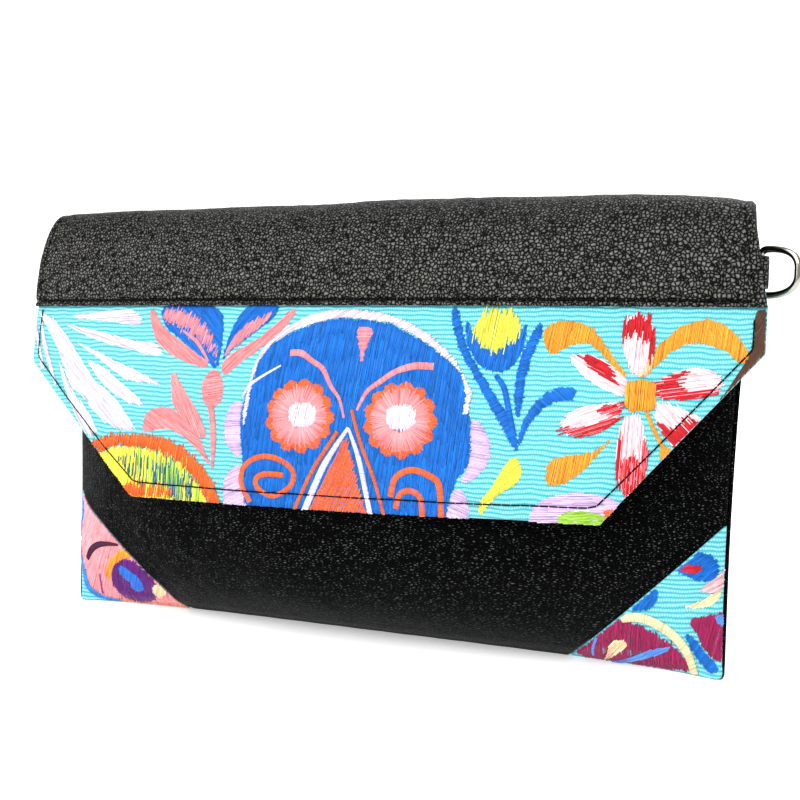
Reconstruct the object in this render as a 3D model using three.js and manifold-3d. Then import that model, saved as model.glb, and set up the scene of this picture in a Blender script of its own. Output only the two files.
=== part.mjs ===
// A leather flap clutch with an embroidered flap and embroidered lower corners, standing on its base.
// Millimetres, +Z up, the front faces -Y, the origin is on the floor under the middle of the flat base.
// The bag is first laid out in its own upright frame, x across, y to the back and z up along the bag,
// with the side seams in the plane y = 0. It then leans back by LEAN and its underside is pressed flat.
import * as THREE from "three";
import Module from "manifold-3d";

const wasm = await Module();
wasm.setup();

// The filled body, its lean and the share by which it stands taller at its right end
const BODY_HEIGHT = 149;
const MOUTH_WIDTH = 266;
const FOOT_TAPER = 4;
const FOOT_RADIUS = 2.4;
const BELLY_FRONT = 31;
const BELLY_BACK = 31;
const SEAM_BOW = 8;
const SEAM_BOW_HEIGHT = 55;
const BODY_WALL = 1.8;
const LEAN = THREE.MathUtils.degToRad(8);
const RIGHT_RISE = 0.0095;

// The cloth corners of the front
const CORNER_WIDTH_LEFT = 53.2;
const CORNER_WIDTH_RIGHT = 53;
const CORNER_HEIGHT_LEFT = 46.9;
const CORNER_HEIGHT_RIGHT = 52;

// The flap: the ridge above the mouth, the seams and hems below the ridge, the cut corners and the ends
const FLAP_OVERHANG = 7;
const RIDGE_RISE = 12;
const SEAM_DROP = 39;
const FLAP_DROP_LEFT = 71.8;
const FLAP_DROP_RIGHT = 69;
const SIDE_DROP_LEFT = 22;
const SIDE_DROP_RIGHT = 14.4;
const FLAP_CUT_LEFT = 56.5;
const FLAP_CUT_RIGHT = 47.5;
const RIDGE_FORWARD = 2;
const RIDGE_SAG_LEFT = 0.8;
const RIDGE_SAG_RIGHT = 4.5;
const RIDGE_IN_LEFT = 1.5;
const RIDGE_IN_RIGHT = 6;
const BACK_DROP = 20;
const BACK_LAP = 20;
const BACK_EDGE = 3;
const SEAM_LAP = 7;
const BAND_WALL = 1.7;
const CLOTH_WALL = 1.5;

// The closure, the ring and its tab
const SNAP_RADIUS = 7;
const SNAP_THICKNESS = 3;
const SNAP_ABOVE_EDGE = 14.4;
const RING_INNER_HEIGHT = 12.6;
const RING_DEPTH = 10.4;
const RING_WIRE = 2.4;
const RING_DROP = 15;
const RING_OUT = 3.5;
const RING_TURN = THREE.MathUtils.degToRad(-24);
const TAB_LEATHER = 1.2;
const TAB_TONGUE = 9;

// Clearances
const GAP = 0.3;
const BAR_GAP = 0.25;
const SNAP_GAP = 0.45;
const TAB_GAP = 1;

const RIDGE_HEIGHT = BODY_HEIGHT + RIDGE_RISE;
const SEAM_HEIGHT = RIDGE_HEIGHT - SEAM_DROP;
const BACK_SHOULDER = RIDGE_HEIGHT - BACK_DROP;
const SNAP_HEIGHT = SEAM_HEIGHT - (FLAP_DROP_LEFT + FLAP_DROP_RIGHT) / 2 + SNAP_ABOVE_EDGE;
const RING_HEIGHT = BODY_HEIGHT - RING_DROP;
const FOOT_WIDTH = MOUTH_WIDTH - 2 * FOOT_TAPER;
const FLAP_HALF = MOUTH_WIDTH / 2 + FLAP_OVERHANG;
const FLAP_GAP = SNAP_THICKNESS + 2 * SNAP_GAP;
const TAB_WIDTH = RING_INNER_HEIGHT - 2 * TAB_GAP;
const RING_WIRE_RADIUS = RING_WIRE / 2;
const TAB_OUTER_RADIUS = RING_WIRE_RADIUS + BAR_GAP + TAB_LEATHER;

// The middle section of the body, from the bottom seam up to the mouth. rise is a share of BODY_HEIGHT,
// depth a share of BELLY_FRONT or BELLY_BACK.
const FRONT_ROWS = [
  { rise: 0, depth: 0 },
  { rise: 0.018, depth: 0.2 },
  { rise: 0.05, depth: 0.52 },
  { rise: 0.12, depth: 0.82 },
  { rise: 0.24, depth: 0.97 },
  { rise: 0.38, depth: 1 },
  { rise: 0.55, depth: 0.96 },
  { rise: 0.7, depth: 0.86 },
  { rise: 0.84, depth: 0.66 },
  { rise: 1, depth: 0.3 },
];
const BACK_ROWS = [
  { rise: 0, depth: 0 },
  { rise: 0.005, depth: 0.34 },
  { rise: 0.012, depth: 0.62 },
  { rise: 0.045, depth: 0.83 },
  { rise: 0.14, depth: 0.96 },
  { rise: 0.3, depth: 1 },
  { rise: 0.5, depth: 0.93 },
  { rise: 0.7, depth: 0.76 },
  { rise: 0.86, depth: 0.53 },
  { rise: 1, depth: 0.3 },
];
// Half width of the body. rise is a share of BODY_HEIGHT, spread the share of the way from the foot's
// half width to the mouth's.
const WIDTH_ROWS = [
  { rise: 0, spread: 0 },
  { rise: 0.3, spread: 0 },
  { rise: 0.6, spread: 0.3 },
  { rise: 0.82, spread: 0.8 },
  { rise: 1, spread: 1 },
];

// How the body's depth falls off towards its sides, and the share of it that the flap keeps at its ends
const SIDE_ROUND = 2.4;
const SIDE_FULL = 0.86;
const FLAP_END_DEPTH = 0.5;

// The number of facets that each surface is divided into
const ACROSS = 28;
const PANEL_ROWS = 20;
const LAP_ROWS = 3;
const ARCH_ROWS = 7;
const DRAPE_ROWS = 5;
const CUT_ROWS = 5;
const RING_STEPS = 44;
const RING_SIDES = 10;
const SNAP_SIDES = 24;

const { clamp, lerp } = THREE.MathUtils;

// A smooth curve through the rows of a table, read at a share t of its rows.
function tableCurve(rows, across) {
  return new THREE.SplineCurve(rows.map((row) => new THREE.Vector2(row[across], row.rise)));
}
const frontCurve = tableCurve(FRONT_ROWS, "depth");
const backCurve = tableCurve(BACK_ROWS, "depth");
const widthCurve = tableCurve(WIDTH_ROWS, "spread");

// The value between low and high at which a test stops being true.
function solve(isBelow, low, high) {
  for (let step = 0; step < 40; step++) {
    const middle = (low + high) / 2;
    if (isBelow(middle)) low = middle;
    else high = middle;
  }
  return low;
}

// What a curve, whose rise only grows, reads across at height z.
function acrossAt(curve, z) {
  const t = solve((share) => curve.getPoint(share).y < z / BODY_HEIGHT, 0, 1);
  return curve.getPoint(t).x;
}

// Half the body's width at height z, with its foot corners rounded.
function halfWidth(z) {
  const half = lerp(FOOT_WIDTH / 2, MOUTH_WIDTH / 2, acrossAt(widthCurve, Math.max(z, 0)));
  const below = clamp(1 - z / FOOT_RADIUS, 0, 1);
  return half - FOOT_RADIUS * (1 - Math.sqrt(1 - below * below));
}

// How full the body is at a share u of its half width, and how far the flap still stands out there.
const bodyPlan = (u) => Math.pow(1 - Math.pow(Math.abs(u), SIDE_ROUND), SIDE_FULL);
const flapPlan = (u) => 1 - (1 - FLAP_END_DEPTH) * u * u;

// The bottom seam bows to the back between the corners, less and less further up.
function seamPlane(u, z) {
  const fade = Math.pow(clamp(1 - z / SEAM_BOW_HEIGHT, 0, 1), 2);
  return SEAM_BOW * (1 - Math.pow(Math.abs(u), 4)) * fade;
}

// How far back the flat base reaches in the middle: to where the back of the leaning bag leaves the floor.
function baseDepth() {
  const depth = (t) => seamPlane(0, 0) + backCurve.getPoint(t).x * BELLY_BACK;
  const isPressed = (t) => backCurve.getPoint(t).y * BODY_HEIGHT < depth(t) * Math.tan(LEAN);
  return depth(solve(isPressed, 0, 1)) / Math.cos(LEAN);
}
const BASE_MIDDLE = baseDepth() / 2;

// A point of the upright bag as it stands: drawn up a little towards its right end, leaned back, moved
// over the origin and kept above the floor.
function stand(x, y, z, floor = 0) {
  const height = z * (1 + (RIGHT_RISE * x) / FLAP_HALF);
  const back = y * Math.cos(LEAN) + height * Math.sin(LEAN) - BASE_MIDDLE;
  const up = height * Math.cos(LEAN) - y * Math.sin(LEAN);
  return new THREE.Vector3(x, back, Math.max(up, floor));
}

// A closed solid between two grids of points with the same rows and columns.
function thickPatch(outer, inner) {
  const rows = outer.length;
  const columns = outer[0].length;
  const positions = [...outer.flat(), ...inner.flat()].flatMap((p) => [p.x, p.y, p.z]);
  const index = [];
  const at = (side, row, column) => (side * rows + row) * columns + column;
  const quad = (a, b, c, d) => index.push(a, b, c, a, c, d);
  for (let r = 0; r < rows - 1; r++) {
    for (let c = 0; c < columns - 1; c++) {
      quad(at(0, r, c), at(0, r, c + 1), at(0, r + 1, c + 1), at(0, r + 1, c));
      quad(at(1, r, c), at(1, r + 1, c), at(1, r + 1, c + 1), at(1, r, c + 1));
    }
  }
  for (let c = 0; c < columns - 1; c++) {
    quad(at(0, 0, c), at(1, 0, c), at(1, 0, c + 1), at(0, 0, c + 1));
    quad(at(0, rows - 1, c), at(0, rows - 1, c + 1), at(1, rows - 1, c + 1), at(1, rows - 1, c));
  }
  for (let r = 0; r < rows - 1; r++) {
    quad(at(0, r, 0), at(0, r + 1, 0), at(1, r + 1, 0), at(1, r, 0));
    quad(at(0, r, columns - 1), at(1, r, columns - 1), at(1, r + 1, columns - 1), at(0, r + 1, columns - 1));
  }
  const geometry = new THREE.BufferGeometry();
  geometry.setAttribute("position", new THREE.Float32BufferAttribute(positions, 3));
  geometry.setIndex(index);
  return geometry;
}

// Turns a geometry's faces round, for a patch whose grid runs the other way.
function turned(geometry) {
  const index = geometry.getIndex().array;
  for (let i = 0; i < index.length; i += 3) [index[i + 1], index[i + 2]] = [index[i + 2], index[i + 1]];
  return geometry;
}

// Even steps from start to end, both ends included.
const steps = (start, end, count) => Array.from({ length: count + 1 }, (_, i) => lerp(start, end, i / count));
// Steps across the width that come closer together towards the sides, where the body curves most.
const EDGE_CROWD = Math.PI / 2.6;
const acrossSteps = (count) => steps(-1, 1, count).map((s) => Math.sin(s * EDGE_CROWD) / Math.sin(EDGE_CROWD));

// A point of the body's front (side -1) or back (side 1) at a share t of its section. The inner face is
// the same form made smaller by the wall, so that both faces end in the seam's plane.
function bodyPoint(side, u, t, wall) {
  const { x: depthShare, y: riseShare } = (side < 0 ? frontCurve : backCurve).getPoint(t);
  const height = riseShare * BODY_HEIGHT;
  const z = wall + height * (1 - wall / BODY_HEIGHT);
  const depth = Math.max(depthShare * (side < 0 ? BELLY_FRONT : BELLY_BACK) - wall * Math.min(1, t * 8), 0);
  const y = seamPlane(u, height) + side * (depth * bodyPlan(u) + GAP / 2);
  return stand(u * (halfWidth(height) - wall), y, z, wall);
}

// A panel of the body from side seam to side seam and from the bottom seam to the mouth, as a solid.
function bodyPanel(side) {
  const grid = (wall) =>
    steps(0, 1, PANEL_ROWS).map((t) => acrossSteps(ACROSS).map((u) => bodyPoint(side, u, t, wall)));
  const geometry = thickPatch(grid(0), grid(BODY_WALL));
  return solid(side < 0 ? geometry : turned(geometry));
}

// The plane that parts a cloth corner from the leather: a straight cut in the front view, from the foot up
// to the side seam. Its normal points into the corner.
function cornerPlane(hand) {
  const width = hand < 0 ? CORNER_WIDTH_LEFT : CORNER_WIDTH_RIGHT;
  const height = hand < 0 ? CORNER_HEIGHT_LEFT : CORNER_HEIGHT_RIGHT;
  const normal = new THREE.Vector3(hand * height, 0, -width).normalize();
  normal.applyAxisAngle(new THREE.Vector3(1, 0, 0), -LEAN);
  return { normal, offset: normal.dot(stand((hand * FOOT_WIDTH) / 2, 0, height)) };
}

// The leather of the front: the front less its two corners and the tab's slot.
function frontPanel() {
  const [left, right] = [cornerPlane(-1), cornerPlane(1)];
  return bodyPanel(-1)
    .trimByPlane(left.normal.clone().negate().toArray(), -left.offset)
    .trimByPlane(right.normal.clone().negate().toArray(), -right.offset)
    .subtract(tongueSlot());
}

function frontCorner(hand) {
  const { normal, offset } = cornerPlane(hand);
  return bodyPanel(-1).trimByPlane(normal.toArray(), offset + GAP);
}

// How far the flap's outer face stands in front of the seam plane at height z, and behind it at the back,
// where its ends stand off to clear the ring's tab.
const FLAP_STACK = FLAP_GAP + CLOTH_WALL + GAP + BAND_WALL;
const ridgeX = (u) => u * (FLAP_HALF - (u < 0 ? RIDGE_IN_LEFT : RIDGE_IN_RIGHT));
const frontReach = (u, z) => acrossAt(frontCurve, z) * BELLY_FRONT * flapPlan(u) + FLAP_STACK;
function backReach(u, z) {
  const bodyU = clamp(ridgeX(u) / halfWidth(z), -1, 1);
  const clear = GAP / 2 + GAP + BAND_WALL + BACK_EDGE * Math.pow(Math.abs(u), 10);
  return acrossAt(backCurve, z) * BELLY_BACK * bodyPlan(bodyU) + clear;
}
const ridgeSag = (u) => (u < 0 ? RIDGE_SAG_LEFT : RIDGE_SAG_RIGHT) * Math.pow(Math.abs(u), 5);

// The stretch over the ridge: a quarter of an ellipse from the back shoulder to the ridge, and one from
// there to the seam. angle runs from -90 degrees at the back to 90 degrees at the seam.
function archPoint(u, angle, inset) {
  const top = RIDGE_HEIGHT - ridgeSag(u) - inset;
  const front = angle > 0;
  const foot = front ? SEAM_HEIGHT : BACK_SHOULDER;
  const reach = (front ? frontReach(u, SEAM_HEIGHT) : backReach(u, BACK_SHOULDER)) - inset;
  const radius = front ? reach - RIDGE_FORWARD : reach + RIDGE_FORWARD;
  const y = -RIDGE_FORWARD - radius * Math.sin(angle);
  const x = front ? lerp(u * FLAP_HALF, ridgeX(u), Math.cos(angle)) : ridgeX(u);
  return stand(x, y, foot + (top - foot) * Math.cos(angle));
}

// The band from its hem on the back, over the ridge, to the seam with the embroidered cloth.
function flapBand() {
  const across = steps(-1, 1, ACROSS);
  const grid = (inset) => [
    ...steps(BACK_SHOULDER - BACK_LAP, BACK_SHOULDER, LAP_ROWS)
      .slice(0, -1)
      .map((z) => across.map((u) => stand(ridgeX(u), backReach(u, z) - inset, z))),
    ...steps(-Math.PI / 2, Math.PI / 2, 2 * ARCH_ROWS).map((angle) => across.map((u) => archPoint(u, angle, inset))),
  ];
  return turned(thickPatch(grid(0), grid(BAND_WALL)));
}

// The embroidered cloth of the flap: it starts under the band, hangs straight at its sides and then runs
// in along the two cut corners to its lower edge.
function flapCloth() {
  const sides = [
    { hand: -1, side: SEAM_HEIGHT - SIDE_DROP_LEFT, low: SEAM_HEIGHT - FLAP_DROP_LEFT, cut: FLAP_CUT_LEFT },
    { hand: 1, side: SEAM_HEIGHT - SIDE_DROP_RIGHT, low: SEAM_HEIGHT - FLAP_DROP_RIGHT, cut: FLAP_CUT_RIGHT },
  ];
  const upper = Math.max(sides[0].side, sides[1].side);
  const lower = Math.min(sides[0].side, sides[1].side);
  const edge = ({ hand, side, low, cut }, height) => {
    const share = clamp((side - height(low)) / (side - low), 0, 1);
    return new THREE.Vector2(hand * (1 - (cut / FLAP_HALF) * share), height(low));
  };
  const rows = [
    ...steps(SEAM_HEIGHT, upper, DRAPE_ROWS).map((z) => () => z),
    () => lower,
    ...steps(0, 1, CUT_ROWS).slice(1).map((share) => (low) => lerp(lower, low, share)),
  ];
  const lapAngle = Math.acos(SEAM_LAP / (RIDGE_HEIGHT - SEAM_HEIGHT));
  const under = BAND_WALL + GAP;
  const grid = (inset) => [
    ...steps(lapAngle, Math.PI / 2, 2)
      .slice(0, -1)
      .map((angle) => steps(-1, 1, ACROSS).map((u) => archPoint(u, angle, inset))),
    ...rows.map((height) => {
      const [left, right] = sides.map((each) => edge(each, height));
      return steps(0, 1, ACROSS).map((share) => {
        const { x: u, y: z } = left.clone().lerp(right, share);
        return stand(u * FLAP_HALF, -(frontReach(u, z) - inset), z);
      });
    }),
  ];
  return turned(thickPatch(grid(under), grid(under + CLOTH_WALL)));
}

// The closed snap between the flap and the front, a plain disc.
function snap() {
  const disc = new THREE.CylinderGeometry(SNAP_RADIUS, SNAP_RADIUS, SNAP_THICKNESS, SNAP_SIDES);
  const face = (z) => acrossAt(frontCurve, z) * BELLY_FRONT + GAP / 2;
  const slope = Math.atan2(face(SNAP_HEIGHT - SNAP_RADIUS) - face(SNAP_HEIGHT + SNAP_RADIUS), 2 * SNAP_RADIUS);
  const centre = stand(0, -(face(SNAP_HEIGHT) + SNAP_GAP + SNAP_THICKNESS / 2), SNAP_HEIGHT);
  return disc.rotateX(-LEAN - slope).translate(centre.x, centre.y, centre.z);
}

// Where the ring's straight bar runs, beside the right side seam, and the ring itself.
const barX = halfWidth(RING_HEIGHT) + RING_OUT;
const barCentre = stand(barX, 0, RING_HEIGHT);

function ring() {
  const halfBar = (RING_INNER_HEIGHT + RING_WIRE) / 2;
  const reach = RING_DEPTH + RING_WIRE;
  const bend = RING_WIRE;
  const outline = new THREE.Path();
  outline.moveTo(0, -halfBar + bend);
  outline.lineTo(0, halfBar - bend);
  outline.quadraticCurveTo(0, halfBar, bend, halfBar);
  outline.bezierCurveTo(reach * 0.95, halfBar, reach * 1.02, halfBar * 0.42, reach, 0);
  outline.bezierCurveTo(reach * 1.02, -halfBar * 0.42, reach * 0.95, -halfBar, bend, -halfBar);
  outline.quadraticCurveTo(0, -halfBar, 0, -halfBar + bend);
  const points = outline.getSpacedPoints(RING_STEPS).slice(0, -1);
  const curve = new THREE.CatmullRomCurve3(
    points.map((p) => new THREE.Vector3(p.x, 0, p.y)),
    true,
  );
  return new THREE.TubeGeometry(curve, RING_STEPS, RING_WIRE_RADIUS, RING_SIDES, true);
}

// The tab is one strip of leather folded round the bar, with its tongue sewn into the side seam.
function tab() {
  const seat = -RING_OUT;
  const outline = new THREE.Shape();
  outline.moveTo(seat - TAB_TONGUE, -TAB_LEATHER);
  outline.lineTo(seat, -TAB_LEATHER);
  outline.lineTo(-RING_WIRE_RADIUS, -TAB_OUTER_RADIUS + TAB_LEATHER / 4);
  outline.absarc(0, 0, TAB_OUTER_RADIUS, -Math.PI / 2, Math.PI / 2, false);
  outline.lineTo(-RING_WIRE_RADIUS, TAB_OUTER_RADIUS - TAB_LEATHER / 4);
  outline.lineTo(seat, TAB_LEATHER);
  outline.lineTo(seat - TAB_TONGUE, TAB_LEATHER);
  const eye = new THREE.Path();
  eye.absarc(0, 0, RING_WIRE_RADIUS + BAR_GAP, 0, 2 * Math.PI, true);
  outline.holes.push(eye);
  const strip = new THREE.ExtrudeGeometry(outline, { depth: TAB_WIDTH, bevelEnabled: false, curveSegments: 8 });
  return strip.translate(0, 0, -TAB_WIDTH / 2);
}

// The slot that the tab's tongue takes in the two panels at the side seam.
function tongueSlot() {
  const length = TAB_TONGUE + 2 * TAB_LEATHER;
  const slot = new THREE.BoxGeometry(length, 2 * (TAB_LEATHER + GAP), TAB_WIDTH + 2 * GAP);
  const seat = -RING_OUT;
  slot.translate(seat - TAB_TONGUE - GAP + length / 2, 0, 0);
  return solid(atBar(slot));
}

// Places a geometry made about the bar's middle, with z along the bar.
function atBar(geometry, turn = 0) {
  return geometry.rotateZ(turn).rotateX(-LEAN).translate(barCentre.x, barCentre.y, barCentre.z);
}

// Booleans: a closed geometry as a solid, and a solid as a geometry.
function solid(geometry) {
  const source = geometry.index ? geometry.toNonIndexed() : geometry;
  const key = (x, y, z) => [x, y, z].map((v) => Math.round(v * 1e4)).join(",");
  const seen = new Map();
  const vertices = [];
  const triangles = [];
  const p = source.getAttribute("position");
  for (let i = 0; i < p.count; i++) {
    const name = key(p.getX(i), p.getY(i), p.getZ(i));
    if (!seen.has(name)) {
      seen.set(name, seen.size);
      vertices.push(p.getX(i), p.getY(i), p.getZ(i));
    }
    triangles.push(seen.get(name));
  }
  return new wasm.Manifold(
    new wasm.Mesh({
      numProp: 3,
      vertProperties: new Float32Array(vertices),
      triVerts: new Uint32Array(triangles),
    }),
  );
}
function geometryOf(body) {
  const { vertProperties, triVerts } = body.getMesh();
  const geometry = new THREE.BufferGeometry();
  geometry.setAttribute("position", new THREE.BufferAttribute(vertProperties, 3));
  geometry.setIndex(new THREE.BufferAttribute(triVerts, 1));
  return geometry;
}

const leather = (color = 0x1b1b1c) => new THREE.MeshStandardMaterial({ color, roughness: 0.5, metalness: 0 });
const cloth = () => new THREE.MeshStandardMaterial({ color: 0x4fc6d4, roughness: 0.9, metalness: 0 });
const nickel = () => new THREE.MeshStandardMaterial({ color: 0xd8d6d2, roughness: 0.18, metalness: 1 });

const bag = new THREE.Group();
function add(name, geometry, material) {
  const mesh = new THREE.Mesh(geometry, material);
  mesh.name = name;
  bag.add(mesh);
}

add("front_panel", geometryOf(frontPanel()), leather());
add("front_corner_left", geometryOf(frontCorner(-1)), cloth());
add("front_corner_right", geometryOf(frontCorner(1)), cloth());
add("back_panel", geometryOf(bodyPanel(1).subtract(tongueSlot())), leather());
add("flap_band", flapBand(), leather());
add("flap_cloth", flapCloth(), cloth());
add("flap_snap", snap(), nickel());
add("ring_tab", atBar(tab()), leather());
add("strap_ring", atBar(ring(), RING_TURN), nickel());

export default bag;
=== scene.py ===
# %% [markdown]
# # A flap clutch in black leather and embroidered cloth
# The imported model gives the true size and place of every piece. This lesson keeps that frame and dresses it:
# leather with a pebbled grain, ribbed turquoise cotton, satin-stitch embroidery laid stitch by stitch, and a
# polished strap ring. Lengths are metres, +Z is up and the front faces -Y.

import bpy
import numpy as np
from mathutils import Matrix


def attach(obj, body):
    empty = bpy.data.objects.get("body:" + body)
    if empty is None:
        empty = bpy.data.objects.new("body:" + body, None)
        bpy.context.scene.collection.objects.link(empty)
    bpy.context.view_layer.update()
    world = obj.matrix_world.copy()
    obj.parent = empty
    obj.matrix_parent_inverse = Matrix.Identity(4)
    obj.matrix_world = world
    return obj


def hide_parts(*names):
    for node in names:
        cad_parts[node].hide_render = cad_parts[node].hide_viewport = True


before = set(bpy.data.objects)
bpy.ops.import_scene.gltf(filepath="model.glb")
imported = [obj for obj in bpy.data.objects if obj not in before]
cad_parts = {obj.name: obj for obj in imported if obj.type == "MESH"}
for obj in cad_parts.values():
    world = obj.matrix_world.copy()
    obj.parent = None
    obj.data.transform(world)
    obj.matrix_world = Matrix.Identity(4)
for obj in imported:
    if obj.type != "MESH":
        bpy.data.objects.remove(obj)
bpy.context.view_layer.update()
MM = 0.001
print("CAD nodes:", sorted(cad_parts))

# %% [markdown]
# ## Camera
# The view is the photograph's: from a little to the right of the front and slightly above. A camera looks
# along its own -Z, so its three axes are worked out from the viewing direction and a small roll.

# %% Camera
AZIMUTH, ELEVATION, ROLL = np.radians([21.87, 9.78, -1.42])
DISTANCE, TARGET = 420 * MM, np.array([9.76, 0, 87.17]) * MM
FOCAL_PIXELS, FRAME_PIXELS, SENSOR = 1132.08, 800, 36
flat = np.cos(ELEVATION)
away = np.array([np.sin(AZIMUTH) * flat, -np.cos(AZIMUTH) * flat, np.sin(ELEVATION)])
level = np.cross(-away, [0, 0, 1]) / np.linalg.norm(np.cross(-away, [0, 0, 1]))
upright = np.cross(level, -away)
right = level * np.cos(ROLL) + upright * np.sin(ROLL)
up = -level * np.sin(ROLL) + upright * np.cos(ROLL)
camera_data = bpy.data.cameras.new("camera")
camera_data.sensor_width = SENSOR
camera_data.lens = FOCAL_PIXELS / FRAME_PIXELS * SENSOR
camera_data.clip_start, camera_data.clip_end = 0.01, 30
camera = bpy.data.objects.new("camera", camera_data)
bpy.context.scene.collection.objects.link(camera)
pose = np.eye(4)
pose[:3, :3] = np.column_stack([right, up, away])
pose[:3, 3] = TARGET + away * DISTANCE
camera.matrix_world = Matrix(pose.tolist())
bpy.context.scene.camera = camera
print("lens in mm:", round(camera_data.lens, 2))

# %% [markdown]
# ## Small helpers
# A mesh is written from whole numpy arrays. Colours are picked as sRGB hex and turned linear once, and a
# shader node is added together with its settings and its links by one function.


# %% Helpers for meshes
def linear(code):
    """sRGB hex to linear RGBA: below 0.04045 divide by 12.92, above it ((c + 0.055) / 1.055) ** 2.4."""
    srgb = np.array([int(code[i : i + 2], 16) for i in (1, 3, 5)]) / 255
    rgb = np.where(srgb <= 0.04045, srgb / 12.92, ((srgb + 0.055) / 1.055) ** 2.4)
    return (*rgb.tolist(), 1.0)


def unit(vectors):
    """Each vector divided by its own length."""
    return vectors / np.maximum(np.linalg.norm(vectors, axis=-1, keepdims=True), 1e-12)


def make_piece(name, points, faces, material, uv=None, colours=None):
    """A mesh object from an array of points and an array of faces with equally many corners.
    uv and colours hold one row for each point."""
    mesh = bpy.data.meshes.new(name)
    corners = faces.shape[1]
    mesh.vertices.add(len(points))
    mesh.vertices.foreach_set("co", points.astype(np.float32).ravel())
    mesh.loops.add(faces.size)
    mesh.loops.foreach_set("vertex_index", faces.astype(np.int32).ravel())
    mesh.polygons.add(len(faces))
    mesh.polygons.foreach_set("loop_start", np.arange(0, faces.size, corners, dtype=np.int32))
    mesh.update(calc_edges=True)
    mesh.polygons.foreach_set("use_smooth", np.ones(len(faces), dtype=bool))
    if uv is not None:
        layer = mesh.uv_layers.new(name="cloth")
        layer.data.foreach_set("uv", uv[faces.ravel()].astype(np.float32).ravel())
    if colours is not None:
        attribute = mesh.color_attributes.new("thread", "FLOAT_COLOR", "POINT")
        attribute.data.foreach_set("color", colours.astype(np.float32).ravel())
    mesh.validate()
    mesh.materials.append(material)
    piece = bpy.data.objects.new(name, mesh)
    bpy.context.scene.collection.objects.link(piece)
    return piece


def outward(points, faces):
    """Faces turned so that the volume they close is positive: the sum of a . (b x c) / 6 over triangles."""
    a, b, c = points[faces[:, 0]], points[faces[:, 1]], points[faces[:, 2]]
    volume = np.einsum("ij,ij->i", a, np.cross(b, c)).sum()
    if faces.shape[1] == 4:
        d = points[faces[:, 3]]
        volume += np.einsum("ij,ij->i", a, np.cross(c, d)).sum()
    return faces if volume > 0 else faces[:, ::-1]


def shell_faces(rows, columns):
    """Quads of a closed wall between two grids of points with the same rows and columns."""
    index = np.arange(2 * rows * columns).reshape(2, rows, columns)

    def quads(grid):
        return np.stack([grid[:-1, :-1], grid[:-1, 1:], grid[1:, 1:], grid[1:, :-1]], -1).reshape(-1, 4)

    sides = [index[:, 0], index[:, -1][::-1], index[:, :, 0][::-1], index[:, :, -1]]
    rim = [quads(side)[:, ::-1] for side in sides]
    return np.concatenate([quads(index[0]), quads(index[1])[:, ::-1], *rim])


def wall(outer, thickness, edge, roundness):
    """A wall below a grid of outer points. Each point moves in along the surface's normal by the thickness;
    within roundness of the edge both faces draw together on a quarter circle. edge is the distance to the
    edge at each point."""
    down = np.gradient(outer, axis=0)
    across = np.gradient(outer, axis=1)
    normal = unit(np.cross(down, across))
    if normal[..., 1].mean() > 0 and outer[..., 1].mean() < 0:
        normal = -normal
    share = np.clip(edge / roundness, 0, 1)[..., None]
    full = np.sqrt(np.clip(1 - (1 - share) ** 2, 0.02, 1))
    middle = outer - normal * thickness / 2
    half = normal * thickness / 2 * full
    return middle + half, middle - half


# %% Helpers for shader nodes
def new_material(name):
    material = bpy.data.materials.new(name)
    material.use_nodes = True
    tree = material.node_tree
    tree.nodes.clear()
    return material, tree


def add(tree, kind, wires=None, **settings):
    """Adds a shader node, sets its properties, and gives each named input a value or a link."""
    node = tree.nodes.new("ShaderNode" + kind)
    for name, value in settings.items():
        setattr(node, name, value)
    for socket, source in (wires or {}).items():
        if isinstance(source, bpy.types.NodeSocket):
            tree.links.new(source, node.inputs[socket])
        else:
            node.inputs[socket].default_value = source
    return node


def calc(tree, operation, first, second=0.0):
    return add(tree, "Math", {0: first, 1: second}, operation=operation).outputs[0]


def ramp(tree, value, stops):
    """A colour ramp with stops of (position, hex colour)."""
    node = add(tree, "ValToRGB", {"Fac": value})
    elements = node.color_ramp.elements
    while len(elements) < len(stops):
        elements.new(0.5)
    for element, (position, code) in zip(elements, stops):
        element.position = position
        element.color = linear(code)
    return node.outputs["Color"]


def surface(tree, wires):
    """Ends a material with a Principled shader that has these inputs."""
    shader = add(tree, "BsdfPrincipled", wires)
    add(tree, "OutputMaterial", {"Surface": shader.outputs[0]})


def noise(tree, vector, scale, detail=2.0):
    """How strong a noise pattern is at each point, from 0 to 1, around 0.5."""
    return add(tree, "TexNoise", {"Vector": vector, "Scale": scale, "Detail": detail}).outputs["Fac"]


def spread(tree, value, low, high, to_low=0.0, to_high=1.0):
    """A value between low and high, mapped to the range from to_low to to_high and kept inside it."""
    wires = {"Value": value, "From Min": low, "From Max": high, "To Min": to_low, "To Max": to_high}
    return add(tree, "MapRange", wires).outputs["Result"]
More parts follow.
